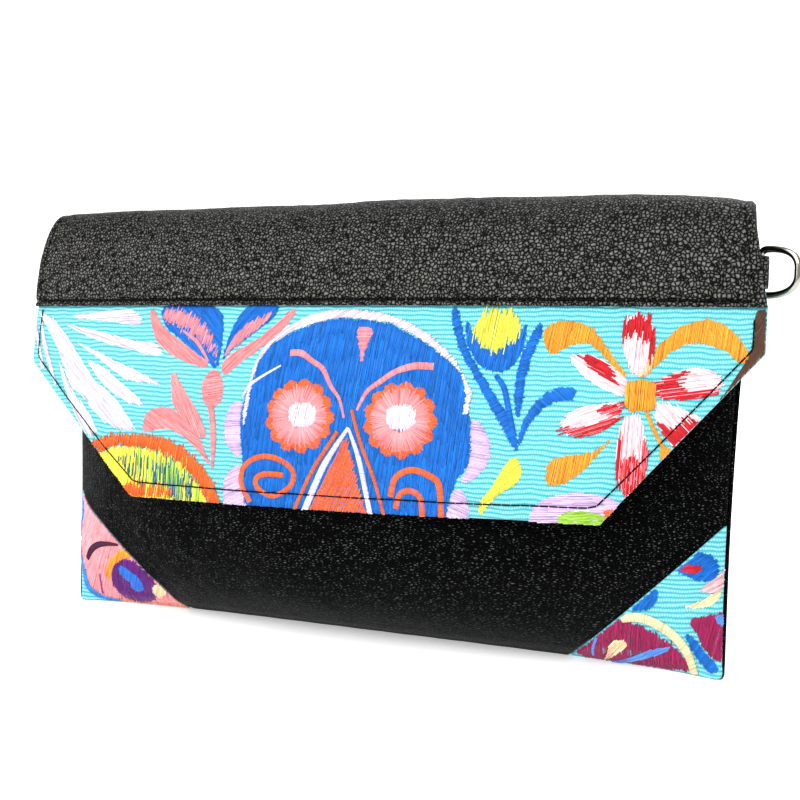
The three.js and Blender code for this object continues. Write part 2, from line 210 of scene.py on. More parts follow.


# %% [markdown]
# ## Leather
# The bag is milled cowhide: rounded cells about 1 mm across with thin black creases between them. A
# Voronoi pattern's distance to the nearest cell edge gives the cells, a finer noise the pores, and both go
# into the bump, so the grain has its real size on every piece. The crowns of the cells are painted grey, a
# painted highlight for the light they catch. The band's topmost part is painted darker, a painted shade, and
# the front's lowest part lighter, painted light bounced up from the floor.
# On the front the cells are drawn out sideways, into the small level wrinkles of softer hide.


# %% Leather materials
def pebbled_leather(name, tones, cell, depth, rough, gloss, stretch=(1, 1, 1), foot=None, ridge=0.0):
    """Dyed, milled leather. tones are the colour stops from crease to crown; the light crown stops are a
    painted highlight. cell is the width of one grain cell and depth its height in metres. stretch draws the
    cells out, and foot is the colour of the lowest 40 mm, painted light bounced up from the floor. ridge is
    how much darker the topmost 14 mm are, as painted shade."""
    material, tree = new_material(name)
    coordinates = add(tree, "TexCoord").outputs["Object"]
    drawn = add(tree, "VectorMath", {0: coordinates, 1: stretch}, operation="MULTIPLY").outputs[0]
    sway = add(tree, "TexNoise", {"Vector": coordinates, "Scale": 0.35 / cell, "Detail": 2.0})
    offset = add(tree, "VectorMath", {0: sway.outputs["Color"], 1: (0.5, 0.5, 0.5)}, operation="SUBTRACT")
    swing = add(tree, "VectorMath", {0: offset.outputs[0], "Scale": 1.4 * cell}, operation="SCALE")
    moved = add(tree, "VectorMath", {0: drawn, 1: swing.outputs[0]}, operation="ADD").outputs[0]
    wires = {"Vector": moved, "Scale": 1 / cell, "Randomness": 0.85}
    edges = add(tree, "TexVoronoi", wires, feature="DISTANCE_TO_EDGE").outputs["Distance"]
    crowns = spread(tree, edges, 0.02, 0.34)
    pores = noise(tree, coordinates, 2.4 / cell, 3.0)
    tone_unevenness = noise(tree, drawn, 0.45 / cell)
    tone = calc(tree, "MULTIPLY", crowns, spread(tree, tone_unevenness, 0.3, 0.7, 0.85, 1.15))
    height_up = add(tree, "SeparateXYZ", {"Vector": coordinates}).outputs["Z"]
    # Painted shade: the topmost 14 mm, over the ridge, are darkened by the share ridge.
    if ridge:
        tone = calc(tree, "MULTIPLY", tone, spread(tree, height_up, 146 * MM, 160 * MM, 1.0, 1 - ridge))
    # Painted highlight: the light tones fall on the cells' crowns, for the light they catch.
    colour = ramp(tree, tone, tones)
    # Painted light: towards the floor the colour is mixed up to 75% into the foot colour, as light bounced up
    # from the floor.
    if foot:
        low = spread(tree, height_up, 40 * MM, 2 * MM, 0.0, 0.75)
        painted_floor_light = ramp(tree, tone, [(0.0, "#0c0d0d"), (0.5, foot), (1.0, foot)])
        mix = add(tree, "Mix", {0: low, 6: colour, 7: painted_floor_light}, data_type="RGBA")
        colour = mix.outputs[2]
    height = calc(tree, "ADD", crowns, calc(tree, "MULTIPLY", pores, 0.45))
    bump = add(tree, "Bump", {"Height": height, "Strength": 0.9, "Distance": depth})
    roughness = calc(tree, "SUBTRACT", rough, calc(tree, "MULTIPLY", crowns, 0.08))
    wires = {"Base Color": colour, "Roughness": roughness}
    wires.update({"Specular IOR Level": gloss, "Normal": bump.outputs[0]})
    surface(tree, wires)
    return material


# The light crown stops of both lists are a painted highlight; the dark stops are the leather's own black.
BAND_TONES_WITH_PAINTED_HIGHLIGHT = [(0.0, "#010101"), (0.16, "#080808"), (0.45, "#50504d"), (1.0, "#74746f")]
BODY_TONES_WITH_PAINTED_HIGHLIGHT = [(0.0, "#010101"), (0.55, "#030304"), (0.8, "#141516"), (1.0, "#4e5151")]
# The band gets painted shade on its ridge (ridge=0.5).
band_leather = pebbled_leather("pebbled_black_cowhide", BAND_TONES_WITH_PAINTED_HIGHLIGHT, 1.25 * MM, 0.5 * MM, 0.46, 0.1, ridge=0.5)
# The front's foot colour is painted light, bounced up from the floor, on its lowest 40 mm.
body_leather = pebbled_leather(
    "soft_black_cowhide", BODY_TONES_WITH_PAINTED_HIGHLIGHT, 0.9 * MM, 0.25 * MM, 0.46, 0.04, stretch=(0.55, 1, 1.3), foot="#222524"
)

# %% [markdown]
# ## Cloth, thread and metal
# The turquoise cotton is a warp-faced rib weave: ribs 1.6 mm apart, broken up by the crossing threads. Their
# colour is painted lighter on the rib tops, a painted highlight, and darker in the valleys, a painted shade.
# The piece's own UV map is in millimetres along the cloth, so the ribs follow its curve.
# Embroidery floss takes its colour from an attribute that each stitch carries, and has a little sheen.

# %% Cloth material
RIB_PITCH, TICK_PITCH = 1.6, 0.8


def bumps(tree, place):
    """One round bump for every whole step of place: |sin(pi place)|."""
    return calc(tree, "ABSOLUTE", calc(tree, "SINE", calc(tree, "MULTIPLY", place, np.pi)))


def ribbed_cotton(name, top, pale, dark):
    """Ribs: |sin(pi v / pitch)|, shifted by noise along the rib. Ticks: the same along u, offset by row."""
    material, tree = new_material(name)
    uv = add(tree, "UVMap", uv_map="cloth").outputs["UV"]
    wander, fray = noise(tree, uv, 0.09), noise(tree, uv, 1.6, 3.0)
    parts = add(tree, "SeparateXYZ", {"Vector": uv})
    along, rise = parts.outputs["X"], parts.outputs["Y"]
    shifted = calc(tree, "ADD", rise, calc(tree, "MULTIPLY", wander, 2.6))
    shifted = calc(tree, "ADD", shifted, calc(tree, "MULTIPLY", fray, 0.35))
    row = calc(tree, "DIVIDE", shifted, RIB_PITCH)
    rib = bumps(tree, row)
    stagger = calc(tree, "MULTIPLY", calc(tree, "FLOOR", row), TICK_PITCH * 0.5)
    tick_place = calc(tree, "DIVIDE", calc(tree, "ADD", along, stagger), TICK_PITCH)
    tick = bumps(tree, tick_place)
    height = calc(tree, "ADD", rib, calc(tree, "MULTIPLY", tick, 0.35))
    shade = calc(tree, "ADD", calc(tree, "MULTIPLY", rib, 0.66), calc(tree, "MULTIPLY", tick, 0.3))
    shade = calc(tree, "ADD", shade, calc(tree, "MULTIPLY", fray, 0.16))
    # Painted shade and highlight: dark in the rib valleys, light on the rib and tick tops, with a little
    # random fray.
    colour = ramp(tree, shade, [(0.1, dark), (0.6, pale), (1.0, top)])
    bump = add(tree, "Bump", {"Height": height, "Strength": 0.85, "Distance": 0.3 * MM})
    wires = {"Base Color": colour, "Roughness": 0.85, "Sheen Weight": 0.15, "Normal": bump.outputs[0]}
    surface(tree, wires)
    return material


# top and pale are a painted highlight on the ribs, dark is painted shade in their valleys.
turquoise_cotton = ribbed_cotton("ribbed_turquoise_cotton", "#8fcdd1", "#54b6c1", "#208ca0")


# %% Thread materials
def floss(name):
    """Embroidery floss in the colour that each stitch carries, with the fine twist of its strands."""
    material, tree = new_material(name)
    hue = add(tree, "Attribute", attribute_name="thread").outputs["Color"]
    coordinates = add(tree, "TexCoord").outputs["Object"]
    strands = noise(tree, coordinates, 2600.0)
    value = spread(tree, strands, 0.0, 1.0, 0.78, 1.16)
    colour = add(tree, "HueSaturation", {"Color": hue, "Value": value}).outputs["Color"]
    bump = add(tree, "Bump", {"Height": strands, "Strength": 0.4, "Distance": 0.06 * MM})
    wires = {"Base Color": colour, "Roughness": 0.52, "Sheen Weight": 0.06, "Normal": bump.outputs[0]}
    surface(tree, wires)
    return material


def sewing_thread(name, code):
    """Waxed sewing thread, twisted, in one colour."""
    material, tree = new_material(name)
    coordinates = add(tree, "TexCoord").outputs["Object"]
    twist = noise(tree, coordinates, 1900.0)
    colour = ramp(tree, twist, [(0.3, "#050506"), (0.85, code)])
    bump = add(tree, "Bump", {"Height": twist, "Strength": 0.5, "Distance": 0.08 * MM})
    wires = {"Base Color": colour, "Roughness": 0.55, "Specular IOR Level": 0.15, "Normal": bump.outputs[0]}
    surface(tree, wires)
    return material


embroidery_floss = floss("rayon_embroidery_floss")
black_thread = sewing_thread("waxed_black_thread", "#101012")


# %% Metal material
def plated_nickel(name):
    """Polished nickel plate: a pale warm metal, with faint wear that changes only its roughness."""
    material, tree = new_material(name)
    coordinates = add(tree, "TexCoord").outputs["Object"]
    wear = noise(tree, coordinates, 420.0, 3.0)
    roughness = spread(tree, wear, 0.0, 1.0, 0.1, 0.24)
    bump = add(tree, "Bump", {"Height": wear, "Strength": 0.15, "Distance": 0.03 * MM})
    tint, relief = linear("#aaa69f"), bump.outputs[0]
    wires = {"Base Color": tint, "Metallic": 1.0, "Roughness": roughness, "Normal": relief}
    surface(tree, wires)
    return material


polished_nickel = plated_nickel("polished_nickel_plate")

# %% [markdown]
# ## The form of the bag
# The same named sizes as in the CAD part, now as numpy functions. The bag is laid out upright, x across, y
# back and z up, and `stand` leans it back by 8 degrees and presses its underside flat on the floor.

# %% Sizes and section tables
BODY_HEIGHT, MOUTH_WIDTH, FOOT_TAPER, FOOT_RADIUS = 149 * MM, 266 * MM, 4 * MM, 2.4 * MM
FOOT_WIDTH = MOUTH_WIDTH - 2 * FOOT_TAPER
BELLY, SEAM_BOW, SEAM_BOW_HEIGHT, BODY_WALL = 31 * MM, 8 * MM, 55 * MM, 1.8 * MM
LEAN, RIGHT_RISE = np.radians(8), 0.0095
FLAP_HALF = MOUTH_WIDTH / 2 + 7 * MM
RIDGE_HEIGHT = BODY_HEIGHT + 12 * MM
SEAM_HEIGHT, BACK_SHOULDER = RIDGE_HEIGHT - 39 * MM, RIDGE_HEIGHT - 20 * MM
BACK_LAP, BACK_EDGE, RIDGE_FORWARD, SEAM_LAP = 20 * MM, 3 * MM, 2 * MM, 7 * MM
GAP, BAND_WALL, CLOTH_WALL, FLAP_GAP = 0.3 * MM, 1.7 * MM, 1.5 * MM, 3.9 * MM
FLAP_STACK = FLAP_GAP + CLOTH_WALL + GAP + BAND_WALL
BASE_MIDDLE = 16.2145 * MM
# Rows are (share of the height, share of the depth or of the widening), from the bottom seam to the mouth.
FRONT_LOW = [(0, 0), (0.018, 0.2), (0.05, 0.52), (0.12, 0.82), (0.24, 0.97)]
FRONT = np.array([*FRONT_LOW, (0.38, 1), (0.55, 0.96), (0.7, 0.86), (0.84, 0.66), (1, 0.3)])
BACK_LOW = [(0, 0), (0.005, 0.34), (0.012, 0.62), (0.045, 0.83), (0.14, 0.96)]
BACK = np.array([*BACK_LOW, (0.3, 1), (0.5, 0.93), (0.7, 0.76), (0.86, 0.53), (1, 0.3)])
WIDTH = np.array([(0, 0), (0.3, 0), (0.6, 0.3), (0.82, 0.8), (1, 1)])


# %% Section curves
def curve(rows, t):
    """A Catmull-Rom curve through the rows: cubic between two rows, with slopes from the rows around them."""
    last = len(rows) - 1
    place = np.clip(np.asarray(t, float), 0, 1) * last
    i = np.minimum(np.floor(place).astype(int), last)
    w = (place - i)[..., None]
    before, start = rows[np.maximum(i - 1, 0)], rows[i]
    end, after = rows[np.minimum(i + 1, last)], rows[np.minimum(i + 2, last)]
    leave, arrive = (end - before) / 2, (after - start) / 2
    cubic = (2 * start - 2 * end + leave + arrive) * w**3
    return cubic + (-3 * start + 3 * end - 2 * leave - arrive) * w**2 + leave * w + start


FINE = np.linspace(0, 1, 4001)


def across_at(rows, z):
    """What a section curve reads at height z."""
    points = curve(rows, FINE)
    return np.interp(np.asarray(z) / BODY_HEIGHT, np.maximum.accumulate(points[:, 0]), points[:, 1])


def half_width(z):
    """Half the width of the body at height z, rounded in at the bottom seam by a quarter circle."""
    half = (FOOT_WIDTH + (MOUTH_WIDTH - FOOT_WIDTH) * across_at(WIDTH, np.maximum(z, 0))) / 2
    below = np.clip(1 - np.asarray(z) / FOOT_RADIUS, 0, 1)
    return half - FOOT_RADIUS * (1 - np.sqrt(1 - below**2))


def body_plan(u):
    """Fullness of the body at a share u of its half width: (1 - |u|^2.4)^0.86."""
    return (1 - np.clip(np.abs(u), 0, 1) ** 2.4) ** 0.86


def flap_plan(u):
    """Fullness of the flap at a share u of its half width: 1 - u^2 / 2."""
    return 1 - 0.5 * u**2


def seam_plane(u, z):
    """The bottom seam bows back between the corners: 8 mm (1 - u^4), fading with height."""
    return SEAM_BOW * (1 - np.abs(u) ** 4) * np.clip(1 - z / SEAM_BOW_HEIGHT, 0, 1) ** 2


def stand(x, y, z, floor=0.0):
    """Leans a point back, moves it over the origin and keeps it above the floor."""
    height = z * (1 + RIGHT_RISE * x / FLAP_HALF)
    back = y * np.cos(LEAN) + height * np.sin(LEAN) - BASE_MIDDLE
    rise = np.maximum(height * np.cos(LEAN) - y * np.sin(LEAN), floor)
    return np.stack(np.broadcast_arrays(x, back, rise), -1)


# %% Surfaces of the flap
RIDGE_SAG = (0.8 * MM, 4.5 * MM)
RIDGE_IN = (1.5 * MM, 6 * MM)


def ridge_x(u):
    """Where the flap's side lies on the ridge, which is narrower than the seam below it."""
    return u * (FLAP_HALF - np.where(u < 0, *RIDGE_IN))


def front_reach(u, z):
    """How far the flap's outer face stands in front of the middle plane."""
    return across_at(FRONT, z) * BELLY * flap_plan(u) + FLAP_STACK


def back_reach(u, z):
    """How far the band's outer face stands behind the middle plane."""
    body_u = np.clip(ridge_x(u) / half_width(z), -1, 1)
    body = across_at(BACK, z) * BELLY * body_plan(body_u)
    return body + GAP * 1.5 + BAND_WALL + BACK_EDGE * np.abs(u) ** 10


def arch(u, angle, inset):
    """Over the ridge: a quarter ellipse at the back and another at the front; angle -90 to 90 degrees."""
    top = RIDGE_HEIGHT - np.where(u < 0, *RIDGE_SAG) * np.abs(u) ** 5 - inset
    front = angle > 0
    foot = np.where(front, SEAM_HEIGHT, BACK_SHOULDER)
    reach = np.where(front, front_reach(u, SEAM_HEIGHT), back_reach(u, BACK_SHOULDER)) - inset
    radius = np.where(front, reach - RIDGE_FORWARD, reach + RIDGE_FORWARD)
    y = -RIDGE_FORWARD - radius * np.sin(angle)
    x = np.where(front, u * FLAP_HALF + (ridge_x(u) - u * FLAP_HALF) * np.cos(angle), ridge_x(u))
    return stand(x, y, foot + (top - foot) * np.cos(angle))


def flap_at(x, z, inset=BAND_WALL + GAP):
    """The outer face of the flap's cloth at x across and z up along the bag."""
    return stand(x, -(front_reach(x / FLAP_HALF, z) - inset), z)


def front_at(x, z):
    """The outer face of the body's front."""
    u = np.clip(x / half_width(z), -1, 1)
    return stand(x, seam_plane(u, z) - (across_at(FRONT, z) * BELLY * body_plan(u) + GAP / 2), z)


# %% [markdown]
# ## Soft, uneven surfaces
# Nothing sewn is perfectly smooth. A few seeded waves of different lengths, added together, push each
# surface in and out by tenths of a millimetre, so that soft light breaks on it as on real hide.

# %% Waves
random = np.random.default_rng(7)


def waves(x, z, size, depth, seed, count=14):
    """A sum of sine waves in random directions, each about `size` long, scaled to stay near `depth`."""
    pick = np.random.default_rng(seed)
    turn = pick.uniform(0, 2 * np.pi, count)
    length = size * pick.uniform(0.6, 1.9, count)
    phase = pick.uniform(0, 2 * np.pi, count)
    place = x[..., None] * np.cos(turn) + z[..., None] * np.sin(turn)
    return depth * np.sin(2 * np.pi * place / length + phase).sum(-1) / np.sqrt(count)


def dress(name, outer, edge, thickness, roundness, material, uv, slot, node):
    """A closed wall from a grid of outer points, dressed as the piece that stands for one CAD node."""
    front, back = wall(outer, thickness, edge, roundness)
    points = np.concatenate([front.reshape(-1, 3), back.reshape(-1, 3)])
    points[:, 2] = np.maximum(points[:, 2], 0)
    faces = outward(points, shell_faces(*outer.shape[:2]))
    both = np.concatenate([uv.reshape(-1, 2)] * 2)
    piece = make_piece(name, points, faces, material, uv=both)
    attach(piece, "bag")
    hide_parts(node)
    print(name, "points", len(points), "quads", len(faces))


# %% [markdown]
# ## The leather of the body
# The front is one soft hide that the two cloth corners cut into. Each row of points runs from one cut to the
# other, so the diagonal edges are clean lines, and both faces draw together there, as a turned edge does.

# %% Front leather
CORNER_WIDTH_RIGHT, CORNER_HEIGHTS = 53 * MM, {-1: 46.9 * MM, 1: 52 * MM}
# The left seam bows inwards. Rows are (height, distance from the middle) in millimetres.
LEFT_SEAM_LOW = [(0, 77), (1, 79), (6, 80), (12, 82), (16, 86)]
LEFT_SEAM = np.array([*LEFT_SEAM_LOW, (23, 94), (28, 101), (34, 110), (41, 122), (46.9, 129)])


def corner_x(hand, z):
    """Where the seam of a corner crosses height z: a straight cut at the right, the bowed seam at the left,
    which goes on straight above its last row."""
    if hand < 0:
        height = np.asarray(z) / MM
        points = curve(LEFT_SEAM, FINE)
        beyond = np.maximum(height - LEFT_SEAM[-1, 0], 0) * 2
        return -(np.interp(height, np.maximum.accumulate(points[:, 0]), points[:, 1]) + beyond) * MM
    width = CORNER_WIDTH_RIGHT * (1 + RIGHT_RISE * FOOT_WIDTH / 2 / FLAP_HALF)
    return FOOT_WIDTH / 2 - width + width * z / CORNER_HEIGHTS[hand]


BODY_ROWS, BODY_COLUMNS, BODY_ROUND = 150, 250, 1.6 * MM


def heights(section):
    """The shares of a section curve at which a body panel has its rows, and the heights of those rows."""
    shares = np.linspace(0, 1, BODY_ROWS)
    return shares, np.maximum.accumulate(curve(section, shares)[:, 0]) * BODY_HEIGHT


def crowded():
    """Shares from -1 to 1 that lie closer towards both sides: sin(1.2 t) / sin(1.2)."""
    return np.sin(np.linspace(-1, 1, BODY_COLUMNS) * 1.2) / np.sin(1.2)


def front_leather():
    """Rows between the two corner seams, with broad dents, fine ones and puckers along the seams."""
    _, z = heights(FRONT)
    left = -np.minimum(half_width(z), -corner_x(-1, z))
    right_end = np.minimum(half_width(z), corner_x(1, z))
    x = left[:, None] + (right_end - left)[:, None] * (crowded() + 1) / 2
    z = np.broadcast_to(z[:, None], x.shape)
    outer = front_at(x, z)
    edge = np.minimum(x - left[:, None], right_end[:, None] - x)
    edge = np.minimum(edge, np.minimum(z + 0.2 * MM, BODY_HEIGHT - z))
    calm = np.clip(edge / (14 * MM), 0, 1)
    outer[..., 1] += waves(x, z, 34 * MM, 0.5 * MM, 3) * calm + waves(x, z * 1.6, 9 * MM, 0.1 * MM, 4) * calm
    pucker = np.exp(-edge / (3 * MM)) * np.sin(x / (2.7 * MM)) * 0.12 * MM
    outer[..., 1] += pucker * (edge > 0.4 * MM)
    uv = np.stack([x, z], -1) / MM
    look = body_leather, uv, "black_leather"
    dress("front_leather", outer, edge, BODY_WALL, BODY_ROUND, *look, "front_panel")


front_leather()


# %% Back leather
def back_leather():
    """Rows from side to side. Its broad waves only sink it in, so that it stays under the band's hem."""
    shares, z = heights(BACK)
    u = np.broadcast_to(crowded(), (BODY_ROWS, BODY_COLUMNS))
    depth = np.broadcast_to((curve(BACK, shares)[:, 1] * BELLY)[:, None], u.shape)
    z = np.broadcast_to(z[:, None], u.shape)
    x = u * half_width(z)
    y = seam_plane(u, z) + depth * body_plan(u) + GAP / 2
    edge = np.minimum(half_width(z) - np.abs(x), np.minimum(depth + 0.2 * MM, BODY_HEIGHT - z))
    calm = np.clip(np.minimum(edge, z) / (16 * MM), 0, 1)
    y = y - np.abs(waves(x, z, 38 * MM, 0.6 * MM, 5)) * calm + waves(x, z, 8 * MM, 0.07 * MM, 6) * calm
    outer, edge = stand(x, y, z)[:, ::-1], edge[:, ::-1]
    uv = np.stack([x, z], -1)[:, ::-1] / MM
    look = body_leather, uv, "black_leather"
    dress("back_leather", outer, edge, BODY_WALL, BODY_ROUND, *look, "back_panel")


back_leather()


# %% [markdown]
# ## The cloth corners
# Each lower corner of the front is a triangle of embroidered cloth let into the leather. Its rows run from
# the diagonal seam out to the side seam, and close up to a point where the two meet.

# %% Cloth corners
CORNER_GRID, SEAM_GAP, LEAST_WIDTH = 90, 0.35 * MM, 0.25 * MM


def cloth_corner(hand, name, node):
    """Rows from the seam to the side, a little closer together at the top. Its waves only sink it in."""
    height = CORNER_HEIGHTS[hand] * 0.985
    z = np.linspace(0, 1, CORNER_GRID) ** 0.9 * height
    inner = np.abs(corner_x(hand, z)) + SEAM_GAP
    reach = np.maximum(half_width(z) - inner, LEAST_WIDTH)
    x = hand * (inner[:, None] + reach[:, None] * np.linspace(0, 1, CORNER_GRID))
    z = np.broadcast_to(z[:, None], x.shape)
    outer = front_at(x, z)
    edge = np.minimum(np.abs(x) - inner[:, None], (inner + reach)[:, None] - np.abs(x))
    edge = np.minimum(edge, z + 0.2 * MM)
    outer[..., 1] += np.abs(waves(x, z, 16 * MM, 0.12 * MM, 8 + hand)) * np.clip(edge / (8 * MM), 0, 1)
    uv = np.stack([x, z], -1) / MM
    dress(name, outer, edge, CLOTH_WALL, 1.2 * MM, turquoise_cotton, uv, "embroidered_cloth", node)


cloth_corner(-1, "corner_cloth_left", "front_corner_left")
cloth_corner(1, "corner_cloth_right", "front_corner_right")

# %% [markdown]
# ## The flap's leather band
# The band runs from its hem on the back over the ridge to the seam above the embroidery. A shallow groove
# follows the stitch line 2 mm above its turned lower edge, and the leather swells a little between stitches.


# %% Leather band
GROOVE_IN, GROOVE_DEEP, END_GROOVE_IN, END_GROOVE_DEEP = 2.1 * MM, 0.8 * MM, 3.4 * MM, 0.35 * MM
BAND_COLUMNS, LAP_ROWS, ARCH_ROWS, BACK_PART, FLAP_ROUND = 280, 30, 130, 34 * MM, 1.3 * MM


def dip(distance, width):
    """A soft bell: 1 at distance 0, falling off as exp(-(distance / width)^2)."""
    return np.exp(-((distance / width) ** 2))


def leather_band():
    """Rows up the back lap, then over the ridge. On the back, the waves only swell the band outwards."""
    u = np.linspace(-1, 1, BAND_COLUMNS)
    lap_u, lap_z = np.meshgrid(u, np.linspace(BACK_SHOULDER - BACK_LAP, BACK_SHOULDER, LAP_ROWS)[:-1])
    lap = stand(ridge_x(lap_u), back_reach(lap_u, lap_z), lap_z)
    arch_u, angles = np.meshgrid(u, np.linspace(-np.pi / 2, np.pi / 2, ARCH_ROWS))
    outer = np.concatenate([lap, arch(arch_u, angles, 0.0)])
    run = np.linalg.norm(np.diff(outer, axis=0), axis=-1)
    down = np.concatenate([np.zeros((1, outer.shape[1])), np.cumsum(run, axis=0)])
    to_seam = down[-1] - down
    sides = (1 - np.abs(u))[None, :] * FLAP_HALF
    edge = np.minimum(np.minimum(to_seam, down), np.broadcast_to(sides, down.shape))
    x = outer[..., 0]
    calm = np.clip(edge / (10 * MM), 0, 1)
    push = waves(x, down, 40 * MM, 0.32 * MM, 21) * calm + waves(x, down, 7 * MM, 0.06 * MM, 22)
    push = np.where(down < BACK_PART, np.abs(push) + 0.05 * MM, push)
    grooves = GROOVE_DEEP * dip(to_seam - GROOVE_IN, 0.6 * MM)
    grooves = grooves + END_GROOVE_DEEP * dip(sides - END_GROOVE_IN, 0.5 * MM)
    swell = 0.1 * MM * np.exp(-to_seam / (4 * MM)) * np.sin(2 * np.pi * x / (3.1 * MM))
    normal = unit(np.cross(np.gradient(outer, axis=0), np.gradient(outer, axis=1)))
    if normal[-1, BAND_COLUMNS // 2, 1] > 0:
        normal = -normal
    outer = outer + normal * (push - grooves + swell)[..., None]
    uv = np.stack([x, down], -1) / MM
    dress("flap_leather", outer, edge, BAND_WALL, FLAP_ROUND, band_leather, uv, "black_leather", "flap_band")


leather_band()

# %% [markdown]
# ## The flap's cloth
# The embroidered cloth starts under the band, hangs over the belly and is cut across both lower corners.
# Rows of points run from side to side, and the distance to the hem rounds the folded edge.

# %% Flap cloth
HALF, TOP, LEFT_CUT, RIGHT_CUT = 140, 122, 100, 107.6
LEFT_FOOT, RIGHT_FOOT = (-83.5, 50.2), (92.5, 53)
HEM = np.array([(-HALF, TOP), (-HALF, LEFT_CUT), LEFT_FOOT, RIGHT_FOOT, (HALF, RIGHT_CUT), (HALF, TOP)])
CLOTH_COLUMNS, FINE_FALL, LAP_STEPS = 320, 14.4 / 22, 8


def to_outline(x, z, outline):
    """The distance from points to the nearest side of a line of points, all in the same unit."""
    point = np.stack([x, z], -1)
    nearest = np.full(x.shape, np.inf)
    for a, b in zip(outline[:-1], outline[1:]):
        along = np.clip(((point - a) @ (b - a)) / ((b - a) @ (b - a)), 0, 1)
        nearest = np.minimum(nearest, np.linalg.norm(point - (a + along[..., None] * (b - a)), axis=-1))
    return nearest


def flap_edges(shares):
    """The left and right ends of the rows: (x, z) in mm. Shares 0 to 1 run down the straight left side, 1 to
    2 along the cut corner to the lower hem."""
    fall = TOP - (TOP - LEFT_CUT) * np.clip(shares, 0, 1)
    cut = np.clip(shares - 1, 0, 1)
    left_z = np.where(shares <= 1, fall, LEFT_CUT + (LEFT_FOOT[1] - LEFT_CUT) * cut)
    right_z = np.where(shares <= 1, fall, LEFT_CUT + (RIGHT_FOOT[1] - LEFT_CUT) * cut)
    left_share = np.clip((LEFT_CUT - left_z) / (LEFT_CUT - LEFT_FOOT[1]), 0, 1)
    right_share = np.clip((RIGHT_CUT - right_z) / (RIGHT_CUT - RIGHT_FOOT[1]), 0, 1)
    left_x = -HALF + (HALF + LEFT_FOOT[0]) * left_share
    right_x = HALF - (HALF - RIGHT_FOOT[0]) * right_share
    return left_x, left_z, right_x, right_z


def cloth_relief(x, z, edge):
    """How far the cloth stands in or out: a seeded ripple that fades at the seam, and the hem's fold."""
    ripple = waves(x, z, 26 * MM, 0.28 * MM, 31) * np.clip(edge / (9 * MM), 0, 1)
    return ripple * np.clip((TOP * MM - z) / (8 * MM), 0, 1) + 0.16 * MM * dip(edge - 3.8 * MM, 0.8 * MM)


def cloth_flap():
    """Rows under the band first, then down the straight sides and along the cut corners."""
    straight = [np.linspace(0, FINE_FALL, 18)[:-1], np.linspace(FINE_FALL, 1, 12)[:-1]]
    left_x, left_z, right_x, right_z = flap_edges(np.concatenate([*straight, np.linspace(1, 2, 66)]))
    share = np.linspace(0, 1, CLOTH_COLUMNS)
    x = left_x[:, None] + (right_x - left_x)[:, None] * share
    z = left_z[:, None] + (right_z - left_z)[:, None] * share
    outer = flap_at(x * MM, z * MM)
    edge = to_outline(x, z, HEM) * MM
    lap_angle = np.arccos(SEAM_LAP / (RIDGE_HEIGHT - SEAM_HEIGHT))
    lap_angles = np.linspace(lap_angle, np.pi / 2, LAP_STEPS)[:-1]
    lap_u, lap_a = np.meshgrid(np.linspace(-1, 1, CLOTH_COLUMNS), lap_angles)
    lap = arch(lap_u, lap_a, BAND_WALL + GAP)
    lap_edge = np.minimum((1 - np.abs(lap_u)) * FLAP_HALF, np.linspace(0, SEAM_LAP, LAP_STEPS)[:-1, None])
    outer[..., 1] += cloth_relief(x * MM, z * MM, edge)
    outer = np.concatenate([lap, outer])
    edge = np.concatenate([lap_edge, edge])
    lap_z = TOP + np.broadcast_to(np.linspace(SEAM_LAP / MM, 0, LAP_STEPS)[:-1, None], lap_u.shape)
    uv = np.concatenate([np.stack([lap_u * HALF, lap_z], -1), np.stack([x, z], -1)])
    look = turquoise_cotton, uv, "embroidered_cloth"
    dress("flap_cotton", outer, edge, CLOTH_WALL, FLAP_ROUND, *look, "flap_cloth")


cloth_flap()

# %% [markdown]
# ## Ring and tab
# The D-shaped ring is round wire bent to its outline, made as a circle carried along a closed path. The tab
# is one strip of leather folded round the ring's straight bar, with its tongue sewn into the side seam.

# %% Carrying a section along a path
RING_TURN = np.radians(-24)
RING_HEIGHT, BAR_OUT = BODY_HEIGHT - 15 * MM, 3.5 * MM
BAR = stand(half_width(RING_HEIGHT) + BAR_OUT, 0.0, RING_HEIGHT)


def at_bar(points, turn=0.0):
    """Turns points about the bar, leans them with the bag and moves them to the bar's middle."""
    x = points[..., 0] * np.cos(turn) - points[..., 1] * np.sin(turn)
    y = points[..., 0] * np.sin(turn) + points[..., 1] * np.cos(turn)
    z = points[..., 2]
    leaned = np.stack([x, y * np.cos(LEAN) + z * np.sin(LEAN), z * np.cos(LEAN) - y * np.sin(LEAN)], -1)
    return leaned + BAR


def bezier(points, t):
    """A Bezier curve of any degree: repeated blends between neighbouring points."""
    points = [np.asarray(p, float)[None, :] for p in points]
    while len(points) > 1:
        points = [a + (b - a) * t[:, None] for a, b in zip(points[:-1], points[1:])]
    return points[0]


# %% Strap ring
WIRE, RING_INNER, RING_DEPTH = 2.4 * MM, 12.6 * MM, 10.4 * MM


